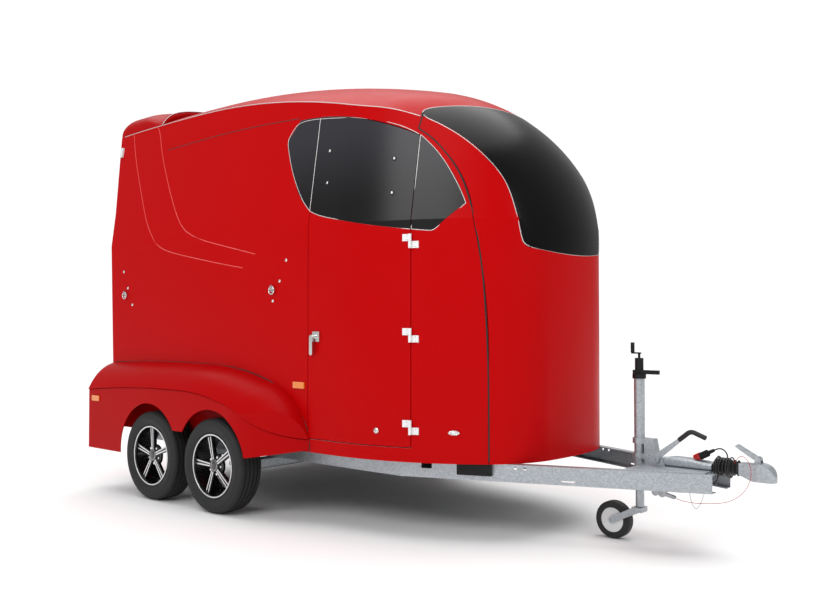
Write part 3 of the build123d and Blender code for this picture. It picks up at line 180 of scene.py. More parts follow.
# Gel coat on fibreglass: deep red with a soft gloss, and the faint waviness of a hand-laid shell, 300 mm long.
# Faces that look into the cabin have the pale lining.
gel_coat, tree, shader, place = start_material(
    "red_gel_coat", "#b20306", Specular_IOR_Level=0.05
)
mottle(tree, shader, place, 0.3, (0.3, 0.4), bump=0.0004, detail=1)
outward = add_node(
    tree, "ShaderNodeVectorMath", links={0: place.outputs["Object"]}, operation="SUBTRACT"
)
outward.inputs[1].default_value = (-0.35, 0, 1.6)
facing = add_node(
    tree, "ShaderNodeVectorMath", links={0: outward.outputs["Vector"], 1: place.outputs["Normal"]},
    operation="DOT_PRODUCT",
)
inside = add_node(tree, "ShaderNodeMath", {1: 0}, {0: facing.outputs["Value"]}, operation="LESS_THAN")
tint = add_node(tree, "ShaderNodeMix", links={0: inside.outputs[0]}, data_type="RGBA")
tint.inputs[6].default_value = linear("#b20306")
tint.inputs[7].default_value = linear("#b9bcbd")
tree.links.new(tint.outputs[2], shader.inputs["Base Color"])

# The same gel coat where both faces are red, as on the fenders and the rear hood; the raised lines have their own
# paler painted highlight
red_trim, tree, shader, place = start_material(
    "red_gel_coat_trim", "#a80306", Specular_IOR_Level=0.05
)
mottle(tree, shader, place, 0.3, (0.3, 0.4), bump=0.0003, detail=1)

# Cast acrylic sheet, smoked: glossy black, painted a little paler towards the top as a painted reflection of the
# bright sky
smoked, tree, shader, place = start_material("smoked_acrylic", "#060607", Roughness=0.3, Specular_IOR_Level=0.3)
height = add_node(tree, "ShaderNodeSeparateXYZ", links={0: place.outputs["Object"]})
sky_reflection_fade = add_node(
    tree, "ShaderNodeMapRange", {"From Min": 1.9, "From Max": 2.5, "To Min": 0, "To Max": 1},
    {"Value": height.outputs["Z"]}, interpolation_type="SMOOTHSTEP",
)
# Near black low down to grey higher up: painted reflection
tint = add_node(tree, "ShaderNodeMix", links={0: sky_reflection_fade.outputs["Result"]}, data_type="RGBA")
tint.inputs[6].default_value = linear("#050506")
tint.inputs[7].default_value = linear("#2a2a30")
tree.links.new(tint.outputs[2], shader.inputs["Base Color"])

# The same sheet at the front as a shaded copy: painted shade, darker and reflecting less of the sky than the side
# windows
smoked_front_shaded, tree, shader, place = start_material("smoked_acrylic_front_shaded", "#050506", Specular_IOR_Level=0.1)
mottle(tree, shader, place, 0.4, (0.24, 0.3), detail=1)

# Hot-dip galvanised steel: zinc crystals about 7 mm across, each a little lighter or darker and duller than its
# neighbours
galvanised, tree, shader, place = start_material("hot_dip_galvanised_steel", "#a4a8ab", Metallic=0.9)
spangle = add_node(tree, "ShaderNodeTexVoronoi", {"Scale": 1 / 0.007}, {"Vector": place.outputs["Object"]})
grain = add_node(tree, "ShaderNodeSeparateColor", links={0: spangle.outputs["Color"]})
tint = add_node(tree, "ShaderNodeMix", links={0: grain.outputs[0]}, data_type="RGBA")
tint.inputs[6].default_value = linear("#9ea4a9")
tint.inputs[7].default_value = linear("#b8bdc2")
tree.links.new(tint.outputs[2], shader.inputs["Base Color"])
dull = add_node(tree, "ShaderNodeMapRange", {"To Min": 0.34, "To Max": 0.56}, {"Value": grain.outputs[1]})
tree.links.new(dull.outputs["Result"], shader.inputs["Roughness"])

# Polished stainless steel, with rubbing marks 3 mm apart
stainless, tree, shader, place = start_material("polished_stainless_steel", "#d6d6d4", Metallic=1)
mottle(tree, shader, place, 0.003, (0.1, 0.2))

# Powder-coated steel, white: satin, with the coat's orange peel 2 mm across
white_coat, tree, shader, place = start_material("white_powder_coat", "#e4e5e6")
mottle(tree, shader, place, 0.002, (0.35, 0.45), bump=0.0001)

# Tyre tread rubber: matt charcoal, dusty, with a moulded grain
tyre_rubber, tree, shader, place = start_material("vulcanised_tyre_rubber", "#191a1b")
mottle(tree, shader, place, 0.008, (0.62, 0.8), ("#151616", "#212223"), bump=0.0004)

# Soft black rubber of bellows and seals; the same black also paints the shadow line under the shoulder
seal_rubber_and_shadow, tree, shader, place = start_material("epdm_rubber_and_painted_shadow", "#141415")
mottle(tree, shader, place, 0.004, (0.5, 0.68), ("#111112", "#1b1b1c"), bump=0.0002)

# Injection-moulded ABS with a fine texture
black_abs, tree, shader, place = start_material("black_moulded_abs", "#0d0d0e", Specular_IOR_Level=0.25)
mottle(tree, shader, place, 0.0015, (0.42, 0.55), ("#0b0b0c", "#141415"), bump=0.00015)

# Cast aluminium wheel: gloss black lacquer, and the faces turned bright afterwards
black_lacquer, tree, shader, place = start_material(
    "black_wheel_lacquer", "#0b0b0c", Coat_Weight=0.6, Coat_Roughness=0.06
)
mottle(tree, shader, place, 0.01, (0.22, 0.34))
turned_alloy, tree, shader, place = start_material("turned_aluminium", "#d0d2d4", Metallic=1)
mottle(tree, shader, place, 0.0015, (0.2, 0.32))

# Acrylic lamp lenses with moulded prisms 6 mm wide, drawn as fine waves
prism_width = 0.006
for name, colour in (("amber", "#e07a10"), ("red", "#a00a0c"), ("clear", "#dfe3e4")):
    lens, tree, shader, place = start_material(name + "_acrylic_lens", colour, Roughness=0.12, Coat_Weight=0.8)
    prisms = add_node(
        tree, "ShaderNodeTexWave", {"Scale": 0.5 / prism_width / 6.28}, {"Vector": place.outputs["Object"]}
    )
    relief = add_node(tree, "ShaderNodeBump", {"Distance": 0.0006}, {"Height": prisms.outputs["Fac"]})
    tree.links.new(relief.outputs["Normal"], shader.inputs["Normal"])
    if name == "clear":
        clear_lens = lens
    elif name == "red":
        red_lens = lens
    else:
        amber_lens = lens

# PVC cable jackets and a moulded nylon plug dock
red_pvc, tree, shader, place = start_material("red_pvc_jacket", "#a80d10")
mottle(tree, shader, place, 0.004, (0.3, 0.42))
white_pvc, tree, shader, place = start_material("white_pvc_jacket", "#d9d9d6")
mottle(tree, shader, place, 0.004, (0.35, 0.5))
black_pvc, tree, shader, place = start_material("black_pvc_jacket", "#121213")
mottle(tree, shader, place, 0.006, (0.34, 0.48), ("#101011", "#191a1a"))

# Studded stable mat: recycled rubber crumb, grains 4 mm across
stable_mat, tree, shader, place = start_material("rubber_crumb_mat", "#202122")
mottle(tree, shader, place, 0.004, (0.7, 0.9), ("#191a1b", "#2f3031"), bump=0.0006)

finishes = {
    "red_shell": gel_coat, "dark_pane": smoked, "galvanised": galvanised, "bright_fitting": stainless,
    "white_fitting": white_coat, "alloy": turned_alloy, "tyre_rubber": tyre_rubber, "black_rubber": seal_rubber_and_shadow,
    "black_plastic": black_abs, "amber_lens": amber_lens, "red_lens": red_lens, "clear_lens": clear_lens,
    "floor_mat": stable_mat, "red_plastic": red_pvc, "red_cable": red_pvc, "white_cable": white_pvc,
}
for part in frame["record"]["subparts"]:
    for material_slot in nodes[part["node"]].material_slots:
        material_slot.material = finishes[part["material_slot"]]
for name in ("left_fender", "right_fender"):
    nodes[name].material_slots[0].material = red_trim
# The front window takes the shaded copy of the sheet: painted shade
nodes["front_window"].material_slots[0].material = smoked_front_shaded


# Free cords, along the routes of the part's source: the lead from the front plate, wound in a loose coil and
# plugged into its dock, and the breakaway cable
lead_radius = 0.00375
lead_from_plate = (
    (2.049, -0.050, 0.445), (2.049, -0.050, 0.414), (2.063, -0.048, 0.388), (2.089, -0.044, 0.376),
    (2.117, -0.038, 0.383), (2.135, -0.031, 0.405), (2.139, -0.026, 0.432),
)
lead_to_plug = (
    (2.1828, -0.005, 0.5277), (2.1749, -0.003, 0.552), (2.1551, -0.001, 0.568), (2.1297, 0, 0.5704),
    (2.1072, 0, 0.5584),
)
coil_axis_z = 0.476
coil_points = 106
coil_start = math.radians(-135)
coil_sweep = math.radians(-7 * 360 - 100)
coil_path = (
    (0, 2.139, 0.0520), (0.07, 2.130, 0.0532), (0.14, 2.122, 0.0530), (0.18, 2.124, 0.0464),
    (0.84, 2.197, 0.0464), (0.88, 2.199, 0.0530), (0.94, 2.192, 0.0532), (1, 2.184, 0.0525),
)


def coil_place(share):
    """Place along the coil's axis and radius at a share of its turns."""
    for (start, x, radius), (end, next_x, next_radius) in zip(coil_path, coil_path[1:]):
        if share <= end:
            part = (share - start) / (end - start)
            return x + (next_x - x) * part, radius + (next_radius - radius) * part


lead_points = list(lead_from_plate)
for number in range(coil_points):
    share = number / (coil_points - 1)
    turn = coil_start + coil_sweep * share
    x, radius = coil_place(share)
    x += 0.003 * math.sin(turn * 0.37) + 0.0015 * math.sin(turn * 0.71)
    radius += 0.006 * max(0, -math.sin(turn)) * abs(math.sin(turn * 0.19))
    lead_points.append((x, radius * math.cos(turn), coil_axis_z + radius * math.sin(turn)))
lead_points += list(lead_to_plug)


def make_cord(name, points, radius, material):
    """Round cord as one smooth open curve through its control points."""
    curve = bpy.data.curves.new(name, "CURVE")
    curve.dimensions = "3D"
    curve.bevel_depth = radius
    curve.bevel_resolution = 3
    curve.use_fill_caps = True
    spline = curve.splines.new("NURBS")
    spline.points.add(len(points) - 1)
    for point, place in zip(spline.points, points):
        point.co = (*place, 1)
    spline.order_u = 3
    spline.use_endpoint_u = True
    spline.resolution_u = 5
    curve.materials.append(material)
    piece = bpy.data.objects.new(name, curve)
    bpy.context.scene.collection.objects.link(piece)
    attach(piece, "trailer")
    return piece


lead = make_cord("lead_cord", lead_points, lead_radius, black_pvc)
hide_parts("lead")
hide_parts("lead_coil")
breakaway_route = (
    (1.888, -0.002, 0.275), (1.927, -0.012, 0.266), (1.983, -0.020, 0.265), (2.039, -0.026, 0.268),
    (2.095, -0.033, 0.276), (2.150, -0.041, 0.286), (2.203, -0.050, 0.302), (2.251, -0.057, 0.330),
    (2.293, -0.062, 0.370), (2.320, -0.064, 0.422), (2.327, -0.062, 0.476), (2.311, -0.056, 0.524),
    (2.279, -0.046, 0.550), (2.245, -0.036, 0.538), (2.227, -0.030, 0.505),
)
breakaway = make_cord("breakaway_cord", breakaway_route, 0.0015, red_pvc)
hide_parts("breakaway_cable")


def finish_piece(name, form, material, body, smooth=True):
    """Makes a piece of a bmesh, with one finish or several, and lets it ride on a body."""
    bmesh.ops.recalc_face_normals(form, faces=form.faces)
    for face in form.faces:
        face.smooth = smooth
    mesh = bpy.data.meshes.new(name)
    form.to_mesh(mesh)
    form.free()
    for finish in material if isinstance(material, tuple) else (material,):
        mesh.materials.append(finish)
    piece = bpy.data.objects.new(name, mesh)
    bpy.context.scene.collection.objects.link(piece)
    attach(piece, body)
    return piece


def lathe(form, profile, centre, axis, steps, finish=0):
    """Turns a profile of (along, radius) points about an axis into a bmesh; gives its faces."""
    axis = Vector(axis)
    across = axis.orthogonal().normalized()
    corners = [form.verts.new(Vector(centre) + axis * along + across * radius) for along, radius in profile]
    edges = [form.edges.new(pair) for pair in zip(corners, corners[1:])]
    before = set(form.faces)
    bmesh.ops.spin(
        form, geom=corners + edges, cent=centre, axis=axis, angle=2 * math.pi, steps=steps, use_merge=True
    )
    bmesh.ops.remove_doubles(form, verts=form.verts, dist=1e-6)
    faces = [face for face in form.faces if face not in before]
    for face in faces:
        face.material_index = finish
    return faces


def smooth_line(name, points, radius, closed=False, sides=3):
    """Round bead that follows a smooth line through points, as a mesh."""
    curve = bpy.data.curves.new(name, "CURVE")
    curve.dimensions = "3D"
    curve.bevel_depth = radius
    curve.bevel_resolution = sides
    curve.use_fill_caps = True
    spline = curve.splines.new("POLY" if len(points) == 2 else "NURBS")
    spline.points.add(len(points) - 1)
    for point, place in zip(spline.points, points):
        point.co = (*place, 1)
    if len(points) > 2:
        spline.order_u = 3
        spline.use_endpoint_u = not closed
        spline.use_cyclic_u = closed
        spline.resolution_u = 4
    holder = bpy.data.objects.new(name, curve)
    bpy.context.scene.collection.objects.link(holder)
    mesh = bpy.data.meshes.new_from_object(holder.evaluated_get(bpy.context.evaluated_depsgraph_get()))
    bpy.data.objects.remove(holder)
    return mesh


def beads(name, lines, radius, material, body, closed=False, sides=3):
    """Trim made of several beads."""
    form = bmesh.new()
    for points in lines:
        mesh = smooth_line(name, points, radius, closed, sides)
        form.from_mesh(mesh)
        bpy.data.meshes.remove(mesh)
    return finish_piece(name, form, material, body)


def add_box(form, centre, size, turn=None, round_off=0.001, finish=0):
    """Adds a block with rounded edges to a bmesh, turned by a matrix."""
    before = set(form.faces)
    made = bmesh.ops.create_cube(form, size=1)
    bmesh.ops.scale(form, vec=size, verts=made["verts"])
    if round_off:
        edges = list({edge for corner in made["verts"] for edge in corner.link_edges})
        bmesh.ops.bevel(
            form, geom=edges, offset=round_off, segments=2, profile=0.5, affect="EDGES", material=-1
        )
    corners = list({corner for face in form.faces if face not in before for corner in face.verts})
    if turn is not None:
        bmesh.ops.transform(form, matrix=turn.to_4x4(), verts=corners)
    bmesh.ops.translate(form, vec=centre, verts=corners)
    for face in form.faces:
        if face not in before:
            face.material_index = finish


def facing_turn(normal, up=(0, 0, 1)):
    """Matrix whose Z looks along a normal and whose Y is as near up as can be."""
    z = Vector(normal).normalized()
    x = Vector(up).cross(z).normalized()
    return Matrix((x, z.cross(x), z)).transposed()


def dome(form, place, normal, radius, height, finish=0, steps=16):
    """Adds a domed bolt head or cap, standing on its place."""
    profile = ((-0.001, radius), (height * 0.3, radius), (height * 0.75, radius * 0.8), (height, radius * 0.35),
               (height * 1.02, 0))
    return lathe(form, profile, place, normal, steps, finish)


# Radial trailer tyres, 195 mm wide: five ribs of blocks between four grooves, a ridge on each shoulder, and the
# sidewall's rings. Each tyre replaces its plain CAD ring.
rib_edges = (-0.072, -0.050, -0.041, -0.021, -0.012, 0.012, 0.021, 0.041, 0.050, 0.072)
groove_depth = 0.007
block_rise = 0.0025
side_profile = (
    (0.0660, 0.2005), (0.0720, 0.2030), (0.0790, 0.2110), (0.0835, 0.2140), (0.0860, 0.2160),
    (0.0850, 0.2180), (0.0905, 0.2300), (0.0955, 0.2450), (0.0968, 0.2560), (0.0972, 0.2600),
    (0.0972, 0.2630), (0.0952, 0.2660), (0.0935, 0.2740), (0.0915, 0.2760), (0.0900, 0.2860),
    (0.0835, 0.2960), (0.0780, 0.3000), (0.0740, 0.3010),
)


def tyre_profile():
    """Half section of a tyre from one bead over the tread to the other, with the rib tops' places."""
    tread = []
    for number, edge in enumerate(rib_edges):
        crown = tyre_radius - block_rise - 0.0028 * (edge / 0.072) ** 2
        if number in (0, len(rib_edges) - 1):
            tread.append((edge, crown))
        elif number % 2:
            tread += [(edge, crown), (edge + 0.0012, crown - groove_depth)]
        else:
            tread += [(edge - 0.0012, crown - groove_depth), (edge, crown)]
    left = [(-along, radius) for along, radius in side_profile]
    return left + tread + list(reversed(side_profile))


def on_rib(face, centre):
    """Whether a face is the top of a rib."""
    spot = face.calc_center_median()
    along = spot.y - centre.y
    distance = math.hypot(spot.x - centre.x, spot.z - centre.z)
    low = tyre_radius - block_rise - 0.0045
    return distance > low and abs(face.normal.y) < 0.4 and any(
        rib_edges[n] < along < rib_edges[n + 1] for n in range(0, 9, 2)
    )


# Wheels 15 inches across: (outward, radius) profiles of the barrel, its turned lip, the hub and the centre cap,
# and five arms that each carry two turned bars
barrel_profile = (
    (-0.0825, 0.190), (-0.0825, 0.207), (-0.0765, 0.207), (-0.0745, 0.1992), (0.0745, 0.1992), (0.0765, 0.207),
    (0.0820, 0.207), (0.0822, 0.1965), (0.0740, 0.1935), (0.0600, 0.1915), (0.0200, 0.1880), (-0.0500, 0.1860),
    (-0.0825, 0.190),
)
lip_profile = ((0.0818, 0.2068), (0.0828, 0.2062), (0.0828, 0.1982), (0.0816, 0.1968))
hub_profile = (
    (0.0280, 0.0740), (0.0440, 0.0730), (0.0470, 0.0680), (0.0490, 0.0470), (0.0630, 0.0430),
    (0.0668, 0.0400), (0.0668, 0.0330), (0.0640, 0.0315), (0.0630, 0),
)
cap_profile = ((0.0630, 0.0315), (0.0672, 0.0308), (0.0676, 0.0285), (0.0660, 0.0278))
badge_profile = ((0.0630, 0.0280), (0.0664, 0.0272), (0.0682, 0.0200), (0.0690, 0.0100), (0.0692, 0))
wheel_bolt_profile = ((0, 0.0100), (0.0080, 0.0098), (0.0100, 0.0080), (0.0100, 0))
arm_plan = ((0.036, -0.0145), (0.036, 0.0145), (0.192, 0.0185), (0.192, -0.0185))
spoke_headings = {"front": 105, "rear": 93}


def add_bar(form, plan, low, high, turn, centre, finish):
    """Adds an arm from its plan of (out, across) corners, between two heights, with softened upper edges."""
    before = set(form.faces)
    base = form.faces.new([form.verts.new((out, across, low)) for out, across in plan])
    top = bmesh.ops.extrude_face_region(form, geom=[base])["geom"]
    corners = [item for item in top if isinstance(item, bmesh.types.BMVert)]
    bmesh.ops.translate(form, vec=(0, 0, high - low), verts=corners)
    rim_edges = [item for item in top if isinstance(item, bmesh.types.BMEdge)]
    bmesh.ops.bevel(form, geom=rim_edges, offset=0.0012, segments=1, profile=0.5, affect="EDGES", material=-1)
    made = [face for face in form.faces if face not in before]
    for face in made:
        high_up = all(corner.co.z > high - 0.0001 for corner in face.verts)
        face.material_index = finish if high_up else 0
    moved = list({corner for face in made for corner in face.verts})
    bmesh.ops.transform(form, matrix=Matrix.Translation(centre) @ turn.to_4x4(), verts=moved)


for end, place in (("front", axle_x), ("rear", axle_x - axle_spacing)):
    for side, sign in (("right", -1), ("left", 1)):
        wheel = end + "_" + side
        centre = Vector((place, sign * track_half, tyre_radius))
        form = bmesh.new()
        lathe(form, tyre_profile(), centre, (0, 1, 0), 108)
        bmesh.ops.recalc_face_normals(form, faces=form.faces)
        ribs = [face for face in form.faces if on_rib(face, centre)]
        bmesh.ops.inset_individual(form, faces=ribs, thickness=0.0016, depth=block_rise)
        tyre = finish_piece(wheel + "_tread", form, tyre_rubber, wheel + "_wheel", smooth=False)
        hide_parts(wheel + "_tyre")
        form = bmesh.new()
        lathe(form, barrel_profile, centre, (0, sign, 0), 72)
        lathe(form, lip_profile, centre, (0, sign, 0), 72, 1)
        lathe(form, hub_profile, centre, (0, sign, 0), 40)
        lathe(form, cap_profile, centre, (0, sign, 0), 32, 1)
        lathe(form, badge_profile, centre, (0, sign, 0), 32)
        for number in range(5):
            heading = math.radians(spoke_headings[end] + 72 * number)
            arm = Matrix((
                (math.cos(heading), -sign * math.sin(heading), 0), (0, 0, sign),
                (math.sin(heading), sign * math.cos(heading), 0),
            ))
            add_bar(form, arm_plan, 0.038, 0.0605, arm, centre, 0)
            for edge in (-1, 1):
                add_bar(form, ((0.040, edge * 0.0015), (0.040, edge * 0.0125), (0.190, edge * 0.0170),
                               (0.190, edge * 0.0060)), 0.060, 0.0662, arm, centre, 1)
            between = heading + math.radians(36)
            bolt_place = centre + Vector((math.cos(between) * 0.057, sign * 0.046, math.sin(between) * 0.057))
            lathe(form, wheel_bolt_profile, bolt_place, (0, sign, 0), 6, 2)
        wheel_finishes = (black_lacquer, turned_alloy, stainless)
        rim = finish_piece(wheel + "_alloy", form, wheel_finishes, wheel + "_wheel", smooth=False)
        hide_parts(wheel + "_rim")


def in_shell(x, y, z):
    """Whether a point in front of the cabin's middle is inside the body."""
    if abs(y) >= skin_y(x, z):
        return False
    across = nose_radius - arch_radius + math.sqrt(arch_radius ** 2 - y ** 2)
    return z < roof_z(x, y) if z > nose_arc_z or x < nose_arc_x else x < nose_arc_x + across


def front_point(y, z):
    """Point on the nose or brow, seen from the front."""
    low, high = 0.2, 1.3
    for halving in range(40):
        middle = (low + high) / 2
        low, high = (middle, high) if in_shell(middle, y, z) else (low, middle)
    return Vector((low, y, z))


def ridge_point(x):
    """Point where the right-hand wall meets the roof."""
    z = 2.5
    for turn in range(60):
        z += 0.5 * (roof_z(x, skin_y(x, z)) - z)
    return Vector((x, -skin_y(x, z), z))


def other_side(points):
    return [Vector((x, -y, z)) for x, y, z in points]


def side_run(outline, proud=0):
    """Points on the right-hand wall from (x from the front axle, z) pairs."""
    return [side_point(x, z, proud)[0] for x, z in outline]


# Thin pale beads: aluminium edge trims round the side windows, at their joints and round the front window; along
# the edge of the roof the pale bead is a painted highlight on the edge
trim_radius = 0.0024
window_rear = (
    (0.704, 1.932), (0.64, 1.985), (0.584, 2.059), (0.526, 2.145), (0.471, 2.251), (0.425, 2.368),
    (0.41, 2.422), (0.445, 2.479), (0.514, 2.545), (0.702, 2.527),
)
window_door_top = (
    (0.702, 2.527), (0.936, 2.502), (1.124, 2.467), (1.288, 2.421), (1.388, 2.379), (1.452, 2.34),
)
window_front_end = (
    (1.462, 2.335), (1.529, 2.273), (1.602, 2.178), (1.665, 2.068), (1.709, 1.977), (1.728, 1.928),
    (1.731, 1.921), (1.724, 1.914), (1.6, 1.787), (1.576, 1.768), (1.55, 1.768), (1.462, 1.778),
)
window_door_foot = (
    (1.452, 1.779), (1.306, 1.797), (1.096, 1.835), (0.904, 1.873), (0.779, 1.901), (0.704, 1.932),
)
joints = (((0.70, 1.935), (0.70, 2.23), (0.70, 2.526)), ((1.46, 1.78), (1.46, 2.06), (1.46, 2.335)))
body_trim = [side_run(window_rear), side_run(window_front_end)] + [side_run(joint, 0.0005) for joint in joints]
left_outline = (window_rear, window_door_top, window_front_end, window_door_foot)
left_trim = [other_side(side_run(run)) for run in left_outline]
ridge_rear_x = -2.38
ridge_spacing = 0.117
ridge = [ridge_point(ridge_rear_x + ridge_spacing * number) for number in range(27)]
roof_edge = [ridge, other_side(ridge)]
sill = [(y, 1.646 + 3.013 - math.sqrt(3.013 ** 2 - y ** 2)) for y in (0, 0.13, 0.26, 0.37)]
side = [
    (0.430, 1.688), (0.447, 1.722), (0.462, 1.80), (0.474, 1.90), (0.488, 2.0), (0.508, 2.085),
    (0.545, 2.17), (0.591, 2.25), (0.620, 2.3), (0.651, 2.35), (0.686, 2.4), (0.716, 2.437),
]
brow = [(0.648, 0.70), (0.639, 0.66)] + [
    (0.775 - 1.537 + math.sqrt(1.537 ** 2 - y ** 2), y) for y in (0.60, 0.48, 0.36, 0.24, 0.12, 0)
]
half_loop = [front_point(-y, z) for y, z in sill + side] + [Vector((x, -y, roof_z(x, y))) for x, y in brow]
window_loop = half_loop[:-1] + other_side(reversed(half_loop))[:-1]
# One pale finish for the window trims and for the painted highlights on the roof's and the hood's edges
trim_and_highlight, tree, shader, place = start_material("aluminium_trim_and_painted_highlight", "#c9c4c3", Metallic=0.6)
mottle(tree, shader, place, 0.004, (0.3, 0.42))
beads("window_edge_trim", body_trim + left_trim, trim_radius, trim_and_highlight, "trailer")
beads("door_window_trim", [side_run(window_door_top), side_run(window_door_foot)], trim_radius, trim_and_highlight,
      "groom_door")
# Pale bead along the roof's edge: painted highlight
beads("roof_edge_painted_highlight", roof_edge, 0.0028, trim_and_highlight, "trailer")
beads("front_window_trim", [window_loop], 0.003, trim_and_highlight, "trailer", closed=True)

# Black rubber: the seam in front of the groom's door and the piping over the fenders; and a black bead under the
# roof's edge, a painted shadow under the shoulder band's step
seam = (
    (1.84, 0.46), (1.84, 0.7), (1.838, 1.0), (1.83, 1.25), (1.817, 1.5), (1.794, 1.72), (1.76, 1.9),
    (1.71, 2.05), (1.65, 2.163), (1.56, 2.28), (1.50, 2.335), (1.452, 2.369), (1.4465, 2.374),
    (1.448, 2.385), (1.462, 2.47),
)
piping = (
    (-1.465, 0.936), (-1.03, 0.955), (-0.496, 0.959), (-0.135, 0.950), (0.035, 0.934), (0.2, 0.905),
    (0.359, 0.863), (0.498, 0.806), (0.602, 0.726), (0.676, 0.633), (0.719, 0.538), (0.722, 0.45),
)
shoulder = ((-0.956, 2.537), (-0.56, 2.559), (-0.024, 2.576), (0.5, 2.56))
seam_run = side_run(seam, -0.0015)
beads("nose_seam_rubber", [seam_run, other_side(seam_run)], 0.0048, seal_rubber_and_shadow, "trailer")
piping_run = side_run(piping, 0.001)
beads("fender_piping", [piping_run, other_side(piping_run)], 0.004, seal_rubber_and_shadow, "trailer")
# Black bead along the shoulder: painted shadow
shoulder_run = side_run(shoulder, -0.0004)
shoulder_lines = [shoulder_run, other_side(shoulder_run)]
beads("shoulder_painted_shadow", shoulder_lines, 0.0026, seal_rubber_and_shadow, "trailer")

# Raised lines moulded into the rear of both side walls, coloured paler than the walls as a painted highlight
# along their crests
first_line = (
    (-1.461, 2.722), (-1.403, 2.549), (-1.268, 2.288), (-1.123, 2.016), (-1.04, 1.914),
    (-0.947, 1.823), (-0.84, 1.77), (-0.665, 1.731), (-0.447, 1.691), (-0.176, 1.643), (0.066, 1.605),
)
second_line = (
    (-1.13, 2.735), (-1.093, 2.687), (-1.035, 2.525), (-0.921, 2.317), (-0.804, 2.125),
    (-0.679, 1.959), (-0.576, 1.881), (-0.384, 1.818), (-0.255, 1.788), (-0.025, 1.738),
    (0.195, 1.691),
)
# Paler pink red: painted highlight
crest_highlight, tree, shader, place = start_material("painted_highlight_on_raised_line", "#e0504c", Coat_Weight=0.2)
mottle(tree, shader, place, 0.2, (0.25, 0.35))
runs = [side_run(line, -0.0008) for line in (first_line, second_line)]
beads("moulded_lines", runs + [other_side(run) for run in runs], 0.0028, crest_highlight, "trailer")

# Raised hood over the rear cap: a boxy arch across, its front edge a step above the roof, its rear rounded
hood_half = 0.785
hood_top_z = 2.948
hood_power = 2.9
hood_front_x = -1.866
hood_bow = 0.09
hood_rear_x = -2.424
hood_round = 0.07
hood_step = 0.006
hood_side_step = 0.09
hood_swell = 0.28
hood_crowding = 1.6
hood_tail_drop = 0.3
hood_edge_share = 0.9999


def hood_front(y):
    """Where the hood's bowed front edge lies."""
    return hood_front_x - hood_bow * (1 - (y / hood_half) ** 2)


def hood_point(across, along):
    """Point of the hood's skin, across from -1 to 1 and along from its front edge, 0, to the rear, 1."""
    turn = (across + 1) * math.pi / 2
    y = -hood_half * math.copysign(abs(math.cos(turn)) ** (2 / hood_power), math.cos(turn))
    front = hood_front(y)
    x = front + (hood_rear_x - front) * (1 - (1 - along) ** hood_crowding)
    foot_z = ridge_point(x).z
    arch_z = foot_z + (hood_top_z - foot_z) * math.sin(turn) ** (2 / hood_power)
    swell = min(1, (front - x) / hood_swell)
    swell = swell * swell * (3 - 2 * swell)
    share = abs(y) / hood_half
    step = hood_step + hood_side_step * share ** 2 * (1 - share ** 8)
    z = (roof_z(x, y) + step) * (1 - swell) + arch_z * swell
    tail = max(0, 1 - (x - hood_rear_x) / hood_round)
    return Vector((x, y, z - hood_tail_drop * (arch_z - foot_z) * (1 - math.sqrt(1 - tail ** 2))))


form = bmesh.new()
bmesh.ops.create_grid(form, x_segments=40, y_segments=72, size=1)
for corner in form.verts:
    across = max(-hood_edge_share, min(hood_edge_share, corner.co.y))
    corner.co = hood_point(across, (corner.co.x + 1) / 2)
under = bmesh.ops.extrude_face_region(form, geom=form.faces[:])["geom"]
for corner in under:
    if isinstance(corner, bmesh.types.BMVert):
        corner.co.z = min(corner.co.z - 0.004, roof_z(corner.co.x, corner.co.y) - 0.006)
finish_piece("rear_hood", form, red_trim, "trailer")
# Pale bead along the hood's front edge: painted highlight on the step
hood_edge = [hood_point(-0.98 + 0.07 * number, 0) for number in range(29)]
beads("rear_hood_edge_painted_highlight", [hood_edge], 0.0028, trim_and_highlight, "trailer")

# Bolts beside the rope rings, window bolts on rubber washers, and screws of the door's hinges
ring_bolts = (
    (-1.371, 1.63), (-1.314, 1.503), (-1.251, 1.375), (0.499, 1.637), (0.437, 1.506), (0.371, 1.38),
)
window_bolts = ((0.821, 2.303), (0.831, 2.10), (1.32, 2.203), (1.329, 1.997))
form = bmesh.new()
for x, z in ring_bolts:
    for mirrored in (1, -1):
        spot, normal = side_point(x, z)
        spot.y *= mirrored
        normal.y *= mirrored
        dome(form, spot, normal, 0.0105, 0.006)
finish_piece("ring_bolts", form, stainless, "trailer")
for name, body, mirrored in (("door_window_bolts", "groom_door", 1), ("left_window_bolts", "trailer", -1)):
    form = bmesh.new()
    for x, z in window_bolts:
        spot, normal = side_point(x, z)
        spot.y *= mirrored
        normal.y *= mirrored
        lathe(form, ((-0.001, 0.0150), (0.0020, 0.0150), (0.0030, 0.0135), (0.0030, 0)), spot, normal, 20, 1)
        dome(form, spot + normal * 0.0028, normal, 0.0085, 0.0055)
    finish_piece(name, form, (stainless, seal_rubber_and_shadow), body)
hinge_heights = (0.645, 1.17, 1.71)
screw_profile = ((-0.0005, 0.0042), (0.0008, 0.0040), (0.0014, 0.0030), (0.0006, 0.0018), (0.0006, 0))
for name, body, x in (("door_hinge_screws", "groom_door", 1.436), ("wall_hinge_screws", "trailer", 1.486)):
    form = bmesh.new()
    for height in hinge_heights:
        middle = height + (0.018 if body == "groom_door" else -0.022)
        for step in (-0.012, 0.012):
            spot, normal = side_point(x, middle + step, 0.006)
            lathe(form, screw_profile, spot, normal, 12)
    finish_piece(name, form, stainless, body)

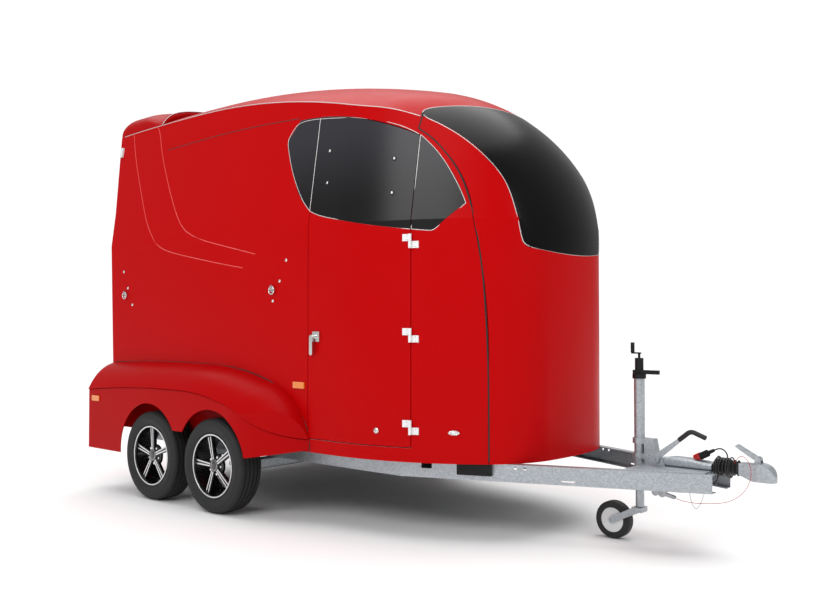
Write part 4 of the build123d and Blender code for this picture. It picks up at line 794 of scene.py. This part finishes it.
# Round lock low on the groom's door, and the eye-shaped marker lamp beside it with its chrome surround
lock_place = (1.249, 0.616)
lock_profile = (
    (-0.001, 0.017), (0.004, 0.017), (0.006, 0.015), (0.006, 0.009), (0.009, 0.0085), (0.010, 0.0075), (0.010, 0),
)
marker_place = (1.681, 0.62)
marker_ring = ((-0.001, 0.034), (0.004, 0.034), (0.0075, 0.030), (0.0075, 0.020), (0.005, 0.018))
marker_lens = ((0.004, 0.019), (0.008, 0.014), (0.0095, 0.008), (0.010, 0))
form = bmesh.new()
spot, normal = side_point(*lock_place)
lathe(form, lock_profile, spot, normal, 32)
add_box(form, spot + normal * 0.0098, (0.0016, 0.009, 0.001), facing_turn(normal), 0, 1)
finish_piece("door_lock", form, (stainless, black_abs), "groom_door")
form = bmesh.new()
for mirrored in (1, -1):
    spot, normal = side_point(*marker_place)
    spot.y *= mirrored
    normal.y *= mirrored
    before = set(form.verts)
    lathe(form, marker_ring, (0, 0, 0), (0, 0, 1), 32)
    lathe(form, marker_lens, (0, 0, 0), (0, 0, 1), 32, 1)
    made = [corner for corner in form.verts if corner not in before]
    bmesh.ops.scale(form, vec=(1, 0.42, 1), verts=made)
    bmesh.ops.transform(
        form, matrix=Matrix.Translation(spot) @ facing_turn(normal).to_4x4(), verts=made
    )
finish_piece("nose_marker_lamps", form, (stainless, clear_lens), "trailer")

# Floor and light of a plain studio
form = bmesh.new()
bmesh.ops.create_grid(form, x_segments=1, y_segments=1, size=40)
floor_mesh = bpy.data.meshes.new("studio_floor")
form.to_mesh(floor_mesh)
form.free()
studio_floor = bpy.data.objects.new("studio_floor", floor_mesh)
bpy.context.scene.collection.objects.link(studio_floor)
pale, tree, shader, place = start_material("painted_studio_floor", "#f4f4f4")
mottle(tree, shader, place, 0.5, (0.75, 0.85))
floor_mesh.materials.append(pale)
studio_floor.location.z = -0.001

world = bpy.data.worlds.new("studio")
bpy.context.scene.world = world
world.use_nodes = True
seen = add_node(world.node_tree, "ShaderNodeLightPath")
glow = add_node(
    world.node_tree, "ShaderNodeMapRange", {"To Min": 0.45, "To Max": 1.05},
    {"Value": seen.outputs["Is Camera Ray"]},
)
world.node_tree.links.new(glow.outputs["Result"], world.node_tree.nodes["Background"].inputs["Strength"])
world.node_tree.nodes["Background"].inputs["Color"].default_value = (1, 1, 1, 1)
for name, place, aim, size, power in (
    ("key", (1.5, -7, 5.5), (-0.3, -0.5, 1.2), (6, 3), 260),
    ("front", (8, 0.5, 5), (0.5, 0, 1.2), (4, 4), 120),
):
    light_data = bpy.data.lights.new(name, "AREA")
    light_data.shape = "RECTANGLE"
    light_data.size, light_data.size_y = size
    light_data.energy = power
    light = bpy.data.objects.new(name, light_data)
    bpy.context.scene.collection.objects.link(light)
    light.location = place
    light.rotation_euler = (Vector(aim) - Vector(place)).to_track_quat("-Z", "Y").to_euler()

sun_data = bpy.data.lights.new("overhead", "SUN")
sun_data.energy = 2.4
sun_data.angle = math.radians(75)
overhead = bpy.data.objects.new("overhead", sun_data)
bpy.context.scene.collection.objects.link(overhead)
overhead.rotation_euler = (math.radians(-12), math.radians(-14), 0)
